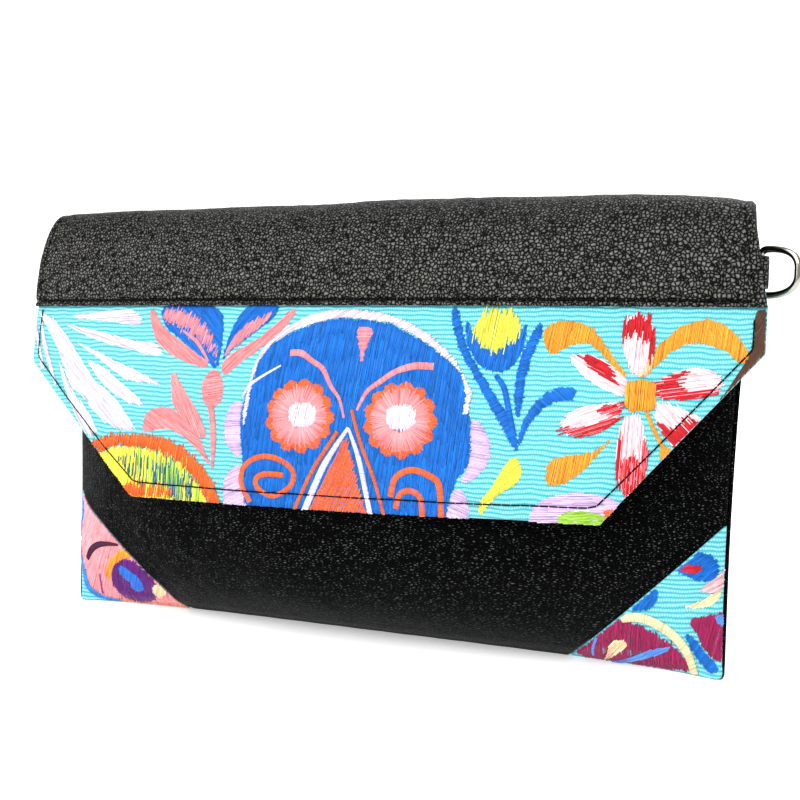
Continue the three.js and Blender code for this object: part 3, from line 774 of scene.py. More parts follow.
def strap_ring():
    """A straight bar, two tight bends and two long bows, closed, with a circle of wire along them."""
    half, reach = (RING_INNER + WIRE) / 2, RING_DEPTH + WIRE
    t = np.linspace(0, 1, 60)[:-1]
    pieces = [
        np.stack([0 * t, (-half + WIRE) + (2 * half - 2 * WIRE) * t], -1),
        bezier([(0, half - WIRE), (0, half), (WIRE, half)], t),
        bezier([(WIRE, half), (reach * 0.95, half), (reach * 1.02, half * 0.42), (reach, 0)], t),
        bezier([(reach, 0), (reach * 1.02, -half * 0.42), (reach * 0.95, -half), (WIRE, -half)], t),
        bezier([(WIRE, -half), (0, -half), (0, -half + WIRE)], t),
    ]
    path = np.concatenate(pieces)
    path = np.stack([path[:, 0], 0 * path[:, 0], path[:, 1]], -1)
    tangent = unit(np.roll(path, -1, 0) - np.roll(path, 1, 0))
    side = np.array([0.0, 1.0, 0.0])
    inward = np.cross(tangent, side)
    turn = np.linspace(0, 2 * np.pi, 25)[:-1]
    ring = side * np.cos(turn)[None, :, None] + inward[:, None] * np.sin(turn)[None, :, None]
    points = path[:, None] + ring * WIRE / 2
    n, m = points.shape[:2]
    index = np.arange(n * m).reshape(n, m)
    nxt = np.roll(index, -1, 0)
    faces = np.stack([index, nxt, np.roll(nxt, -1, 1), np.roll(index, -1, 1)], -1).reshape(-1, 4)
    points = at_bar(points, RING_TURN).reshape(-1, 3)
    piece = make_piece("nickel_ring", points, outward(points, faces), polished_nickel)
    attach(piece, "ring")
    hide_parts("strap_ring")
    print("ring points", len(points))


strap_ring()


# %% Leather tab
TAB_WIDE, TAB_THICK, TAB_TONGUE, TAB_ROUND = 10.6 * MM, 1.2 * MM, 9 * MM, 2.05 * MM


def leather_tab():
    """A strip whose middle line runs out in front of the bar, round it and back behind it."""
    lengths = np.linspace(0, 1, 26)[:-1]
    start = np.array([-BAR_OUT - TAB_TONGUE, -TAB_THICK * 0.52])
    neck = np.array([-BAR_OUT, -TAB_THICK * 0.52])
    eye = np.array([-WIRE / 2, -TAB_ROUND])
    before = np.concatenate([a + (b - a) * lengths[:, None] for a, b in ((start, neck), (neck, eye))])
    bend = np.linspace(-np.pi / 2 - 0.35, np.pi / 2 + 0.35, 60)
    round_bar = np.stack([np.cos(bend), np.sin(bend)], -1) * TAB_ROUND
    path = np.concatenate([before, round_bar, (before * [1, -1])[::-1]])
    tangent = unit(np.gradient(path, axis=0))
    normal = np.stack([tangent[:, 1], -tangent[:, 0]], -1)
    turn = np.linspace(0, 2 * np.pi, 33)[:-1]
    # The strip's section is a rounded rectangle: the sine and cosine drawn towards their signs.
    wide = np.sign(np.cos(turn)) * np.abs(np.cos(turn)) ** 0.25 * TAB_WIDE / 2
    thick = np.sign(np.sin(turn)) * np.abs(np.sin(turn)) ** 0.5 * TAB_THICK / 2
    flat = path[:, None] + normal[:, None] * thick[None, :, None]
    points = np.concatenate([flat, np.broadcast_to(wide[None, :, None], (*flat.shape[:2], 1))], -1)
    n, m = points.shape[:2]
    index = np.arange(n * m).reshape(n, m)
    near, far = index[:-1], index[1:]
    body = np.stack([near, far, np.roll(far, -1, 1), np.roll(near, -1, 1)], -1).reshape(-1, 4)
    centres = points[[0, -1]].mean(1)
    first, last = np.full(m, n * m), np.full(m, n * m + 1)
    caps = [
        np.stack([np.roll(index[0], -1), first, index[0]], -1),
        np.stack([index[-1], last, np.roll(index[-1], -1)], -1),
    ]
    points = at_bar(np.concatenate([points.reshape(-1, 3), centres]))
    quads = outward(points, body)
    flipped = quads[0, 0] != body[0, 0]
    ends = np.concatenate(caps)
    ends = ends[:, ::-1] if flipped else ends
    triangles = np.concatenate([quads[:, [0, 1, 2]], quads[:, [0, 2, 3]], ends])
    piece = make_piece("leather_tab", points, triangles, band_leather)
    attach(piece, "bag")
    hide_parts("ring_tab")
    print("tab triangles", len(triangles))


leather_tab()
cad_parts["flap_snap"].data.materials.clear()
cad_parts["flap_snap"].data.materials.append(polished_nickel)

# %% [markdown]
# ## Stitches
# One stitch is a short bead of thread: pointed where it enters, round in between, lying on its surface. The
# same small form, 18 triangles, serves for every seam and for the thousands of embroidery stitches. All the
# stitches of a group are worked out together as one array.

# %% Making stitches
STATIONS = np.array([0.0, 0.05, 0.5, 0.95, 1.0])
SWELL = np.array([0.0, 0.9, 1.0, 0.9, 0.0])


def normals_of(at, x, z):
    """The outward normal of a surface of (x, z): the cross product of its two slopes."""
    step = 0.2 * MM
    slope_x = at(x + step, z) - at(x - step, z)
    slope_z = at(x, z + step) - at(x, z - step)
    return unit(np.cross(slope_x, slope_z))


POINTS = 3 * (len(STATIONS) - 2) + 2


def sew(name, at, starts, ends, colours, widths, lifts, material, sink=0.25 * MM):
    """Stitches from starts to ends, in metres on the surface `at`. Each is a triangle section that grows from
    a point and shrinks to a point; colours, widths and lifts hold one value for each stitch."""
    count = len(starts)
    place = starts[:, None] + (ends - starts)[:, None] * STATIONS[None, :, None]
    base = at(place[..., 0], place[..., 1])
    normal = normals_of(at, place[..., 0], place[..., 1])
    along = unit(base[:, -1] - base[:, 0])[:, None]
    side = unit(np.cross(along, normal))
    rise = (lifts[:, None] * np.where(SWELL > 0, 1, 0) - sink * (SWELL == 0))[..., None]
    crown = base + normal * (rise + (SWELL * widths[:, None] * 0.42)[..., None])
    foot = base + normal * (rise - (SWELL * widths[:, None] * 0.2)[..., None])
    spread = side * (SWELL * widths[:, None] / 2)[..., None]
    section = np.stack([foot - spread, crown, foot + spread], 2)[:, 1:-1]
    tips = (base + normal * rise)[:, [0, -1]]
    points = np.concatenate([section.reshape(count, 9, 3), tips], 1).reshape(-1, 3)
    grid = np.arange(9).reshape(3, 3)
    tube = []
    for s in range(2):
        for k in range(3):
            a, b = grid[s, k], grid[s, (k + 1) % 3]
            c, d = grid[s + 1, (k + 1) % 3], grid[s + 1, k]
            tube += [(a, b, c), (a, c, d)]
    for k in range(3):
        tube += [(9, grid[0, (k + 1) % 3], grid[0, k]), (10, grid[2, k], grid[2, (k + 1) % 3])]
    faces = (np.array(tube)[None] + np.arange(count)[:, None, None] * POINTS).reshape(-1, 3)
    faces = outward(points - points.mean(0), faces)
    piece = make_piece(name, points, faces, material, colours=np.repeat(colours, POINTS, axis=0))
    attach(piece, "bag")
    print(name, "stitches", count, "triangles", len(faces))


# %% [markdown]
# ## Charting the embroidery
# The folk motifs are charted as outlines in millimetres, x across and z up on the flap. A filled
# shape is crossed by parallel lines at its stitch angle: each stretch of a line inside the outline becomes
# stitches, long ones are split, and the ends fall a little unevenly, as hand-guided machine work does.

# %% Chart helpers
THREAD_PITCH, THREAD_WIDE, LONGEST, SHORTEST, JOIN = 0.4, 0.52, 7.5, 0.5, 0.5
chart = []


def spans(outline, turned_z):
    """Pairs of x where the line z = turned_z is inside a closed outline: sorted crossings, two by two."""
    a, b = outline, np.roll(outline, -1, 0)
    cross = (a[:, 1] > turned_z) != (b[:, 1] > turned_z)
    a, b = a[cross], b[cross]
    x = np.sort(a[:, 0] + (turned_z - a[:, 1]) / (b[:, 1] - a[:, 1]) * (b[:, 0] - a[:, 0]))
    return x.reshape(-1, 2)


def rounded(outline, passes=2):
    """Corner cutting: every side is replaced by the points a quarter and three quarters along it."""
    shape = np.asarray(outline, float)
    for _ in range(passes):
        following = np.roll(shape, -1, 0)
        near, far = shape * 0.75 + following * 0.25, shape * 0.25 + following * 0.75
        shape = np.stack([near, far], 1).reshape(-1, 2)
    return shape


def fill(outline, angle, code, ragged=0.25, layer=1, soft=2, share=1.0):
    """Satin or tatami fill of an outline at a stitch angle in degrees. ragged is how unevenly the stitches
    end, soft how many times the outline's corners are cut, and a share below 1 leaves stitches out."""
    shape = rounded(outline, soft) if soft else np.asarray(outline, float)
    turn = np.radians(angle)
    spin = np.array([[np.cos(turn), np.sin(turn)], [-np.sin(turn), np.cos(turn)]])
    shape = shape @ spin.T
    for line in np.arange(shape[:, 1].min() + THREAD_PITCH / 2, shape[:, 1].max(), THREAD_PITCH):
        for low, high in spans(shape, line):
            if high - low < SHORTEST or random.random() > share:
                continue
            low, high = low + random.normal(0, ragged), high + random.normal(0, ragged)
            parts = max(1, int(np.ceil((high - low) / LONGEST)))
            cuts = np.linspace(low, high, parts + 1)
            cuts[1:-1] += random.uniform(-2.4, 2.4, parts - 1)
            wobble = line + random.normal(0, 0.05)
            for start, end in zip(cuts[:-1], cuts[1:]):
                start, end = start - JOIN * (start > low), end + JOIN * (end < high)
                ends = np.array([(start, wobble), (end, wobble)]) @ spin
                chart.append((*ends[0], *ends[1], code, THREAD_WIDE, layer))


def band(path, width, code, layer=2, slant=0.0):
    """Satin stitches across a line of points. width is one number or one for each point."""
    path = np.asarray(path, float)
    widths = np.broadcast_to(np.asarray(width, float), len(path))
    knots = np.arange(len(path))
    fine = np.linspace(0, len(path) - 1, 40 * len(path))
    smooth = curve(path, fine / (len(path) - 1))
    run = np.concatenate([[0], np.cumsum(np.linalg.norm(np.diff(smooth, axis=0), axis=1))])
    at = np.arange(0, run[-1], THREAD_PITCH)
    x, z = np.interp(at, run, smooth[:, 0]), np.interp(at, run, smooth[:, 1])
    wide = np.interp(np.interp(at, run, fine), knots, widths)
    heading = np.arctan2(np.gradient(z), np.gradient(x)) + np.pi / 2 + np.radians(slant)
    for px, pz, w, h in zip(x, z, wide, heading):
        dx, dz = np.cos(h) * w / 2, np.sin(h) * w / 2
        chart.append((px - dx, pz - dz, px + dx, pz + dz, code, THREAD_WIDE, layer))


def disc(cx, cz, rx, rz):
    """An oval as a closed outline."""
    turn = np.linspace(0, 2 * np.pi, 29)[:-1]
    return np.stack([cx + rx * np.cos(turn), cz + rz * np.sin(turn)], -1)


def spoke(centre, radii, angle, near, far, code, width, layer):
    """One stitch of a flower eye, along a radius of an oval from the share near to the share far."""
    outward_x, outward_z = radii[0] * np.cos(angle), radii[1] * np.sin(angle)
    start = (centre[0] + near * outward_x, centre[1] + near * outward_z)
    end = (centre[0] + far * outward_x, centre[1] + far * outward_z)
    chart.append((*start, *end, code, width, layer))


# %% [markdown]
# ### Thread colours
# The flosses: strong blues, salmon and lilac, orange and yellow, reds, greens and near whites.

# %% Thread colours
BLUE, PINK, WHITE, LILAC = "#0074cb", "#f2979a", "#e7dde9", "#d9c0e4"
ORANGE, YELLOW, GOLD, RED = "#f07030", "#f0e658", "#efa431", "#c81226"
TEAL, BROWN, GREEN, BLACK = "#2b6d72", "#5e3e2d", "#9fce42", "#111113"
PURPLE, MAGENTA, CREAM, SKY = "#6a1680", "#a3155c", "#fbe9bd", "#5fa8f5"
DENIM, AZURE, IRIS, PLUM = "#1f5f9a", "#3f93dc", "#2585e6", "#420d32"
ROSE, BLUSH, SHELL, POWDER = "#dd5a64", "#f8d6dc", "#f4a5ac", "#f7c9cd"
PEACH, ORCHID = "#f3a883", "#a8378a"

# %% [markdown]
# ### The left third
# White petals fan out from the upper left corner. Beside them grows a tulip in blue and salmon with two
# large leaves, over a half-flower whose orange rim holds a yellow heart with dark teal streaks.

# %% Left motifs
WHITE_PETALS = [
    [(-123, 118), (-112, 119.2), (-102, 119.8), (-88, 121), (-81.5, 115), (-91, 114.6), (-101, 116.2),
     (-112, 116.5)],
    [(-124, 115), (-115, 113.7), (-106, 112), (-98, 110.7), (-83, 107.8), (-77.5, 108.7), (-70, 102.8),
     (-79, 103.3), (-87.5, 105.5), (-96.5, 106.5), (-106, 108.7), (-115, 111.5)],
    [(-118, 108.7), (-106, 104.6), (-96.5, 101), (-87.5, 98.7), (-78, 95), (-69.7, 92), (-78, 92.8),
     (-87.5, 93.3), (-91, 94.6), (-98, 98.7), (-107.5, 103.3)],
    [(-110, 101.5), (-101, 98.7), (-94.7, 95), (-87.5, 90.5), (-78, 85), (-84, 84.2), (-93, 87.8),
     (-101, 92.4), (-106.5, 97.8)],
    [(-139, 120.5), (-130, 117.4), (-124, 112.4), (-115, 104), (-110, 98.7), (-105.6, 94), (-101, 91),
     (-94.7, 87.8), (-87.5, 81.5), (-82, 74.6), (-89, 74.6), (-96.5, 77), (-103, 80.5), (-110, 87),
     (-116.5, 89.6), (-120, 96), (-125, 104), (-131, 112.4), (-136.5, 117)],
    [(-125, 103), (-121, 95), (-114.7, 87.8), (-109, 83), (-103, 77), (-100.6, 71.5), (-106.5, 71.5),
     (-111, 76), (-115.6, 82.4), (-119, 87.8), (-122.5, 95)],
]
for petal, angle in zip(WHITE_PETALS, [3, -14, -24, -30, -40, -52]):
    fill(petal, angle, WHITE, ragged=0.8)
band([(-136.5, 116), (-132, 105), (-125, 90.5)], [1, 2.4, 1], WHITE)
band([(-139, 114), (-133, 97)], [1, 2], WHITE)

fill([(-82, 120.5), (-79, 114), (-76.5, 108.7), (-69, 103.7), (-60, 100.5), (-52.5, 98.7), (-51, 101),
      (-58, 105), (-66.5, 109.6), (-73, 113.3), (-77.5, 117.8), (-79, 120.5)], -35, PINK)
fill([(-78, 123), (-73, 114), (-65, 109.6), (-57.5, 104), (-51, 101), (-48.4, 98.3), (-46.5, 100.5),
      (-46, 109.6), (-49, 123)], -42, BLUE)
fill([(-41, 123), (-24, 123), (-26.4, 117.4), (-32.7, 112.4), (-42, 106), (-46.4, 99.6)], 48, BLUE)
fill([(-74, 122), (-62, 119.4), (-55, 114.6), (-50, 108.6), (-46.4, 101.6), (-51, 105.4), (-58, 110.4),
      (-66, 114), (-74, 116.5)], 75, PINK, ragged=1.0, layer=2)
band([(-64, 112.4), (-57, 108), (-51.5, 101.5)], [0.8, 1.8, 1], PINK, slant=25)
fill([(-27, 119.6), (-33, 118), (-41, 112), (-45.2, 102.6), (-42, 105.6), (-36, 110.4), (-30, 114.6)], 62,
     PINK, ragged=0.9, layer=2)
fill([(-46.4, 98.7), (-43.6, 96), (-41, 98.7), (-35.5, 102.4), (-30, 106.5), (-22, 113.3), (-17.3, 120),
      (-19.5, 121), (-23.6, 117), (-29, 111.5), (-37, 107), (-43.6, 103.3)], 42, PINK)
fill(disc(-48.6, 91.5, 4.9, 6.9), 10, PINK, soft=0)
band([(-48.8, 86), (-46.8, 74), (-46.4, 63)], [2.6, 2.4, 0.8], PINK)
fill([(-79, 73.5), (-79, 80), (-76, 83.5), (-70, 84.5), (-63, 83), (-57, 78), (-51, 72), (-47, 63), (-52, 68),
      (-58, 73), (-66, 76.5), (-73, 76)], -28, PINK)
fill([(-67, 92), (-67.5, 95), (-66, 98.5), (-64, 95), (-60, 90), (-55, 84), (-50, 76), (-50, 73), (-55, 75),
      (-62, 81), (-66, 86)], -60, PINK)

RIM_OUT = [(-104, 69), (-97, 72), (-88, 73.5), (-78, 73.5), (-68, 73), (-60, 70), (-52, 65), (-46, 58),
           (-42.5, 50), (-41, 47)]
RIM_IN = [(-46.5, 47), (-49, 52), (-54.5, 59), (-61, 64.5), (-70, 68), (-80, 69), (-92, 68.5), (-100, 65.5)]
fill(RIM_IN + [(-88, 50), (-80, 46), (-60, 46)], 88, YELLOW, ragged=0.6, soft=0)
fill(RIM_OUT + RIM_IN, 80, ORANGE, ragged=0.7, layer=2, soft=0)
fill([(-92, 66), (-86, 64), (-76, 65), (-64, 64), (-54, 57), (-56, 53), (-70, 54), (-84, 56)], 87, TEAL,
     ragged=2.2, layer=2, share=0.42)
fill([(-84, 66), (-70, 67), (-58, 62), (-50, 53), (-52, 50), (-66, 50), (-80, 58)], 88, GREEN, ragged=2.4,
     layer=2, share=0.3)
fill([(-76, 62), (-66, 64), (-57, 60), (-50, 51), (-56, 49), (-68, 50)], 86, DENIM, ragged=2.6, layer=2,
     share=0.3)
fill([(-89, 55), (-76, 55.4), (-64, 54.6), (-62, 52.6), (-70, 51), (-86, 49)], 85, ORANGE, ragged=0.8,
     layer=3, share=0.85)
print("charted after the left third:", len(chart))

# %% [markdown]
# ### The skull in the middle
# A blue folk skull in a white halo, with lilac scallops at its sides, two flower eyes, raised brows, curled
# cheeks and an orange nose. Long fills go first and the fine lines are laid over them.

# %% Skull face
HALO_OUT = [(-34, 78), (-35, 84), (-34, 89.6), (-32.7, 96), (-31, 102.4), (-28, 107.8), (-21, 114),
            (-12.7, 118.3), (-3.6, 120.5), (5.5, 120.4), (14.5, 119.5), (23.6, 117), (31.8, 112.8),
            (39, 107.8), (43.5, 103.3), (47, 97.8), (49.4, 93.3), (48.5, 86)]
HALO_IN = [(46.6, 86), (47.5, 92.4), (45.3, 99.6), (41, 103.3), (34.5, 107.8), (26.4, 112.4), (18, 116),
           (9, 117), (0, 117.6), (-9, 116), (-18, 112.8), (-25.5, 108.3), (-29.5, 102.4), (-31.8, 95),
           (-33.2, 84)]
FACE = [(-34.5, 89.6), (-36, 83), (-35.5, 75), (-34, 68), (-34, 60.5), (-32.7, 47), (42.5, 48), (43.5, 57.8),
        (46, 65), (49.8, 69.6), (50.3, 75), (49.8, 83), (47.8, 89.6), *HALO_IN[1:-1]]
fill(FACE, 84, BLUE, ragged=0.3, soft=0)
fill(HALO_OUT + HALO_IN, 35, WHITE, layer=2, soft=0)
band([(-21, 100.5), (-32, 94), (-35.5, 89)], [0.7, 1.2, 0.7], WHITE, layer=2)
SCALLOPS = [
    [(-34.8, 89), (-40.5, 86), (-42.7, 80.5), (-42.7, 74), (-39.5, 69.6), (-34.5, 67), (-35.5, 76)],
    [(-34.2, 66), (-39.5, 63), (-41.8, 58.7), (-42, 53), (-41, 47), (-31, 47), (-33.8, 58)],
    [(49, 86), (53.5, 83), (56.6, 78), (57, 73), (54.4, 67), (49.8, 64), (46.6, 63.3), (50, 72)],
    [(45.6, 63), (49.8, 59.6), (50.6, 54.5), (49.5, 48), (42.2, 48), (43.2, 57)],
]
for scallop, angle in zip(SCALLOPS, [5, 25, -8, -20]):
    fill(scallop, angle, LILAC)

# %% Skull features
# Rows are (middle of the flower, its radii, middle of the white patch). The orange rim has 13 lobes.
EYES = [((-12.2, 83.3), (12.4, 12.0), (-10.9, 83.7)), ((25.2, 83.3), (12.2, 12.0), (25.6, 84.2))]
for eye, radii, (wx, wz) in EYES:
    for angle in np.linspace(0, 2 * np.pi, 150)[:-1]:
        reach = 0.93 + 0.16 * abs(np.cos(6.5 * angle)) ** 0.7 + random.normal(0, 0.015)
        spoke(eye, radii, angle, 0.74, reach, ORANGE, 0.62, 2.0)
    for angle in np.linspace(0, 2 * np.pi, 118)[:-1]:
        near, far = 0.3 + random.normal(0, 0.02), 0.89 + random.normal(0, 0.04)
        spoke(eye, radii, angle, near, far, PINK, 0.68, 3.0)
    for angle in random.uniform(0, 2 * np.pi, 34):
        spoke(eye, radii, angle, 0.5, 0.87, ROSE, 0.34, 3.5)
    patch = [(wx - 5, wz - 4.4), (wx + 5, wz - 4.4), (wx + 5.4, wz + 4.4), (wx - 5.4, wz + 4.4)]
    fill(patch, 80, WHITE, layer=4, soft=1)

band([(-17.7, 105), (-13.6, 105), (-9, 102.4), (-4.5, 99.6), (-1, 94), (2.7, 89.6), (5, 83.3)], [2.5, 2.5, 2,
                                                                                                 2, 1.6, 1.2,
                                                                                                 0.8], PINK)
band([(35.5, 101.5), (29, 101.5), (22.7, 99.6), (17.3, 96), (12.7, 92.4), (9.5, 86)], [2.6, 2.6, 2.2, 2, 1.6,
                                                                                       0.9], PINK)
fill([(6.8, 114.4), (12.7, 114.4), (13.2, 112.4), (10.9, 107), (9.8, 100), (8.6, 106.5), (6.8, 112)], 0, PINK,
     layer=2)
fill([(6.3, 77.5), (-8.4, 48), (15.6, 48)], 66, ORANGE, layer=2, ragged=0.5, soft=0)
band([(6.8, 80), (-1.8, 66.5), (-9.6, 48)], [1.2, 2.5, 2.7], WHITE, layer=3, slant=20)
band([(7.2, 79.5), (11.5, 69), (16.4, 50)], [1.0, 1.9, 2], WHITE, layer=3, slant=-20)
band([(2.7, 78.4), (-6.4, 64), (-13.2, 49)], 1.4, ORANGE, layer=3)
band([(7.7, 86), (11.8, 75), (17, 63), (21.4, 50)], 1.2, ORANGE, layer=3)
LEFT_CURL = [(-30.5, 52.4), (-34, 58.7), (-32.7, 65), (-26.4, 68.5), (-19, 67.8), (-13.6, 64), (-14.5, 58.7),
             (-21, 55), (-26.8, 57), (-28, 60.5), (-24.5, 62.5), (-17.3, 62.4)]
band(LEFT_CURL, 2.1, ORANGE, layer=2)
band([(23, 57.8), (24.5, 64), (30, 67), (36.4, 65.5), (40, 62.4), (41, 51)], 2.3, ORANGE, layer=2)
band([(25, 54), (26.4, 58.7), (30, 60), (33.6, 57.8), (34.5, 51)], 2.2, ORANGE, layer=2)
print("charted after the skull:", len(chart))

# %% [markdown]
# ### The right third
# A yellow bud in a blue cup with long leaves, golden scrolls, and a six-petalled flower whose red petals fade
# to white. The fade is long-and-short stitching: red stitches with very uneven ends laid over a white ground.

# %% Bud and leaves
fill([(45, 119), (45.5, 110), (50, 102.5), (56, 99.5), (62, 101), (65.5, 108), (66, 118), (63, 112),
      (55, 106), (48.5, 111)], 82, BLUE)
fill([(48, 111), (48, 116), (52, 120.5), (60, 121), (64, 117), (64, 112), (60, 107.5), (54, 106)], 84, YELLOW,
     ragged=1.0, layer=2)
fill([(39, 122), (41, 113), (45, 105), (50, 98), (56, 88), (62, 79), (65, 74), (66, 77), (63, 85), (57, 93),
      (52, 100), (46, 108), (42.5, 121)], 30, BLUE)
band([(57, 99), (60, 95), (62, 88), (64, 80)], [1.6, 2, 2, 2], BLUE)
fill([(70.5, 118), (67, 112), (64, 104), (63.3, 97), (64, 86), (66, 86), (66.8, 98), (68.3, 106),
      (71.5, 113)], 12, BLUE)
fill([(65, 78), (67, 86), (71, 92), (76, 95.5), (81, 96.4), (83.5, 95), (83, 91.5), (77, 91.5), (72, 88),
      (68, 82), (66, 76)], -42, BLUE)
fill([(64.5, 74), (67.5, 70), (67, 66), (64, 63), (60, 61), (56, 56), (54, 53), (53, 57), (57, 62), (60, 68)],
     40, YELLOW)
fill([(75.5, 73), (82, 74.5), (90, 75.8), (96, 81), (90, 74), (88, 71), (84, 67), (80, 64.5), (74.5, 64)], 80,
     GOLD, soft=1)
fill([(71, 112), (72, 115.2), (76, 117.3), (80, 117.6), (86, 116), (90, 111.8), (95, 104.5), (99.5, 99.5),
      (98, 98.8), (93, 104), (88, 109), (84, 110.2), (79, 108.5), (74, 105.6)], 82, GOLD, soft=1)
fill([(101.5, 99), (104, 103), (108, 110), (111, 113), (115, 116.5), (121, 118.3), (127, 117.2), (132, 113),
      (135.5, 107), (133, 103.5), (128, 108.5), (121, 110.8), (115, 109.8), (110, 106), (105, 100)], 84, GOLD,
      soft=1)
fill([(136, 121.5), (136.5, 112), (134, 105), (130.5, 98), (126, 92), (129.5, 91), (136, 97), (141, 103),
      (141, 121)], 60, BROWN)

# %% Six-petalled flower
PETALS = [
    ([(101, 99), (98, 105), (96, 112), (97, 118.4), (101, 120), (105.4, 118), (107, 110), (106, 100)], 88,
     [(96, 111), (97, 118.8), (101, 120.2), (105.8, 118), (107, 109), (105.6, 104), (104.6, 112),
      (99, 112.5)]),
    ([(100, 98), (97, 101), (91, 105), (85, 107), (80, 106.4), (81.5, 103), (87, 98), (93, 95), (99, 93)],
     -27, [(96, 101), (90, 105.4), (84, 107), (86, 103), (91, 99.5), (96, 97)]),
    ([(98, 92), (90, 91), (83, 89), (78, 85), (79, 81.6), (85, 80.3), (92, 82), (98, 88)], 20,
     [(98, 92), (90, 90), (93, 86), (85, 83), (78.5, 84), (79, 81), (86, 80), (93, 82.4), (98, 87)]),
    ([(103, 89), (105, 84), (106.4, 76), (105.5, 68), (102, 60), (97, 66), (96.5, 78), (98, 87)], 88,
     [(96.4, 79), (98.6, 82), (98.2, 72), (101, 76), (104, 73), (104.6, 82), (106.6, 78), (105.5, 67),
      (102, 60), (97, 65)]),
    ([(107, 91), (110, 92.5), (117, 90), (124, 86), (122, 79), (117, 75), (113, 79), (108.5, 85)], -45,
     [(109, 87), (112, 84), (119, 87), (124, 85), (121, 79), (117, 75), (112.6, 79.5), (108, 86)]),
    ([(107, 98), (113, 101.6), (121, 103.5), (127, 101.4), (128.4, 97.6), (126, 95), (117, 93), (108, 92.8)],
     9, [(107, 98), (113, 101), (118, 102.5), (114, 97.6), (120, 95.6), (127, 97), (126, 94.6), (117, 92.8),
         (108, 92.8)]),
]
for petal, angle, blush in PETALS:
    fill(petal, angle, BLUSH, ragged=0.5)
    fill(blush, angle, RED, ragged=1.3, layer=2, soft=1)
fill([(98.6, 90.4), (98.4, 97), (99.6, 98.6), (106.2, 98.8), (107.8, 97.6), (108, 91), (106.8, 89),
      (99.8, 88.8)], 88, GOLD, layer=3, soft=0)
band([(105.5, 88.5), (108, 83), (111, 77.5)], [1.2, 1.4, 1.2], GOLD)
fill([(109.5, 78), (113, 78.5), (115, 74), (112, 71), (110, 74)], 70, GOLD)
fill([(70, 57), (76, 61), (86, 63), (96, 61.5), (103, 58), (98, 50), (70, 50)], 4, LILAC)
fill([(79, 56), (88, 57), (96, 55.5), (96, 50), (79, 50)], 8, GREEN, layer=2)
fill([(93.5, 58), (98, 58), (98.5, 54.5), (94, 54)], 80, ORANGE, layer=2)
print("charted on the flap:", len(chart))


# %% Sewing the flap
def tints(codes, seed):
    """The linear colour of each stitch, made a little lighter or darker by a seeded amount."""
    pick = np.random.default_rng(seed)
    colours = np.array([linear(code) for code in codes])
    colours[:, :3] *= np.exp(pick.normal(0, 0.15, len(codes)))[:, None]
    return np.clip(colours, 0, 1)


def inside(x, z, outline):
    """Whether points lie inside an outline: an odd number of sides crosses the ray to the right."""
    a, b = outline, np.roll(outline, -1, 0)
    crossing = (a[:, 1] > z[:, None]) != (b[:, 1] > z[:, None])
    rise = np.where(b[:, 1] == a[:, 1], 1, b[:, 1] - a[:, 1])
    reach = a[:, 0] + (z[:, None] - a[:, 1]) / rise * (b[:, 0] - a[:, 0])
    return (crossing & (x[:, None] < reach)).sum(1) % 2 == 1


TRIM_STEPS, TRIM_SHARE, SHORTEST_TRIMMED = 26, 0.06, 0.35


def trim(rows, outline):
    """Drops what lies beyond the hem: a stitch is cut back bit by bit until its ends are inside."""
    ends = np.array([row[:4] for row in rows])
    for _ in range(TRIM_STEPS):
        for here, there in ((slice(0, 2), slice(2, 4)), (slice(2, 4), slice(0, 2))):
            out = ~inside(ends[:, here][:, 0], ends[:, here][:, 1], outline)
            step = (ends[:, there] - ends[:, here]) * TRIM_SHARE
            ends[:, here] = np.where(out[:, None], ends[:, here] + step, ends[:, here])
    good = inside(ends[:, 0], ends[:, 1], outline) & inside(ends[:, 2], ends[:, 3], outline)
    good &= np.linalg.norm(ends[:, 2:] - ends[:, :2], axis=1) > SHORTEST_TRIMMED
    return ends[good], np.flatnonzero(good)


def embroider(name, rows, at, hem, seed):
    """Trims the charted stitches to the hem and sews them. Each layer lies 0.17 mm above the one below."""
    ends, kept = trim(rows, hem)
    codes = [rows[i][4] for i in kept]
    widths = np.array([rows[i][5] for i in kept]) * MM
    layers = np.array([rows[i][6] for i in kept], float)
    lifts = (0.02 + 0.17 * layers) * MM
    starts, ends, colours = ends[:, :2] * MM, ends[:, 2:] * MM, tints(codes, seed)
    sew(name, at, starts, ends, colours, widths, lifts, embroidery_floss)


def flap_face(x, z):
    """The flap cloth's outer face with the same relief that the cloth has."""
    point = flap_at(x, z)
    point[..., 1] += cloth_relief(x, z, to_outline(x / MM, z / MM, HEM) * MM)
    return point


STITCH_HALF, STITCH_TOP = 139.7, 123.5
CUTS = [(-STITCH_HALF, 100.1), (-83.6, 49.9), (92.6, 52.7), (STITCH_HALF, 107.7)]
INNER_HEM = np.array([(-STITCH_HALF, STITCH_TOP), *CUTS, (STITCH_HALF, STITCH_TOP)])
groups = [("embroidery_left", -150, -43), ("embroidery_middle", -43, 47), ("embroidery_right", 47, 150)]
for seed, (name, low, high) in enumerate(groups):
    rows = [row for row in chart if low <= (row[0] + row[2]) / 2 < high]
    embroider(name, rows, flap_face, INNER_HEM, 40 + seed)

# %% [markdown]
# ### The corner motifs
# The left corner shows part of a pink flower with a purple ring and a blue heart, the right one a magenta
# half-round under a cream arc, with blue and cream leaves on the turquoise ground.

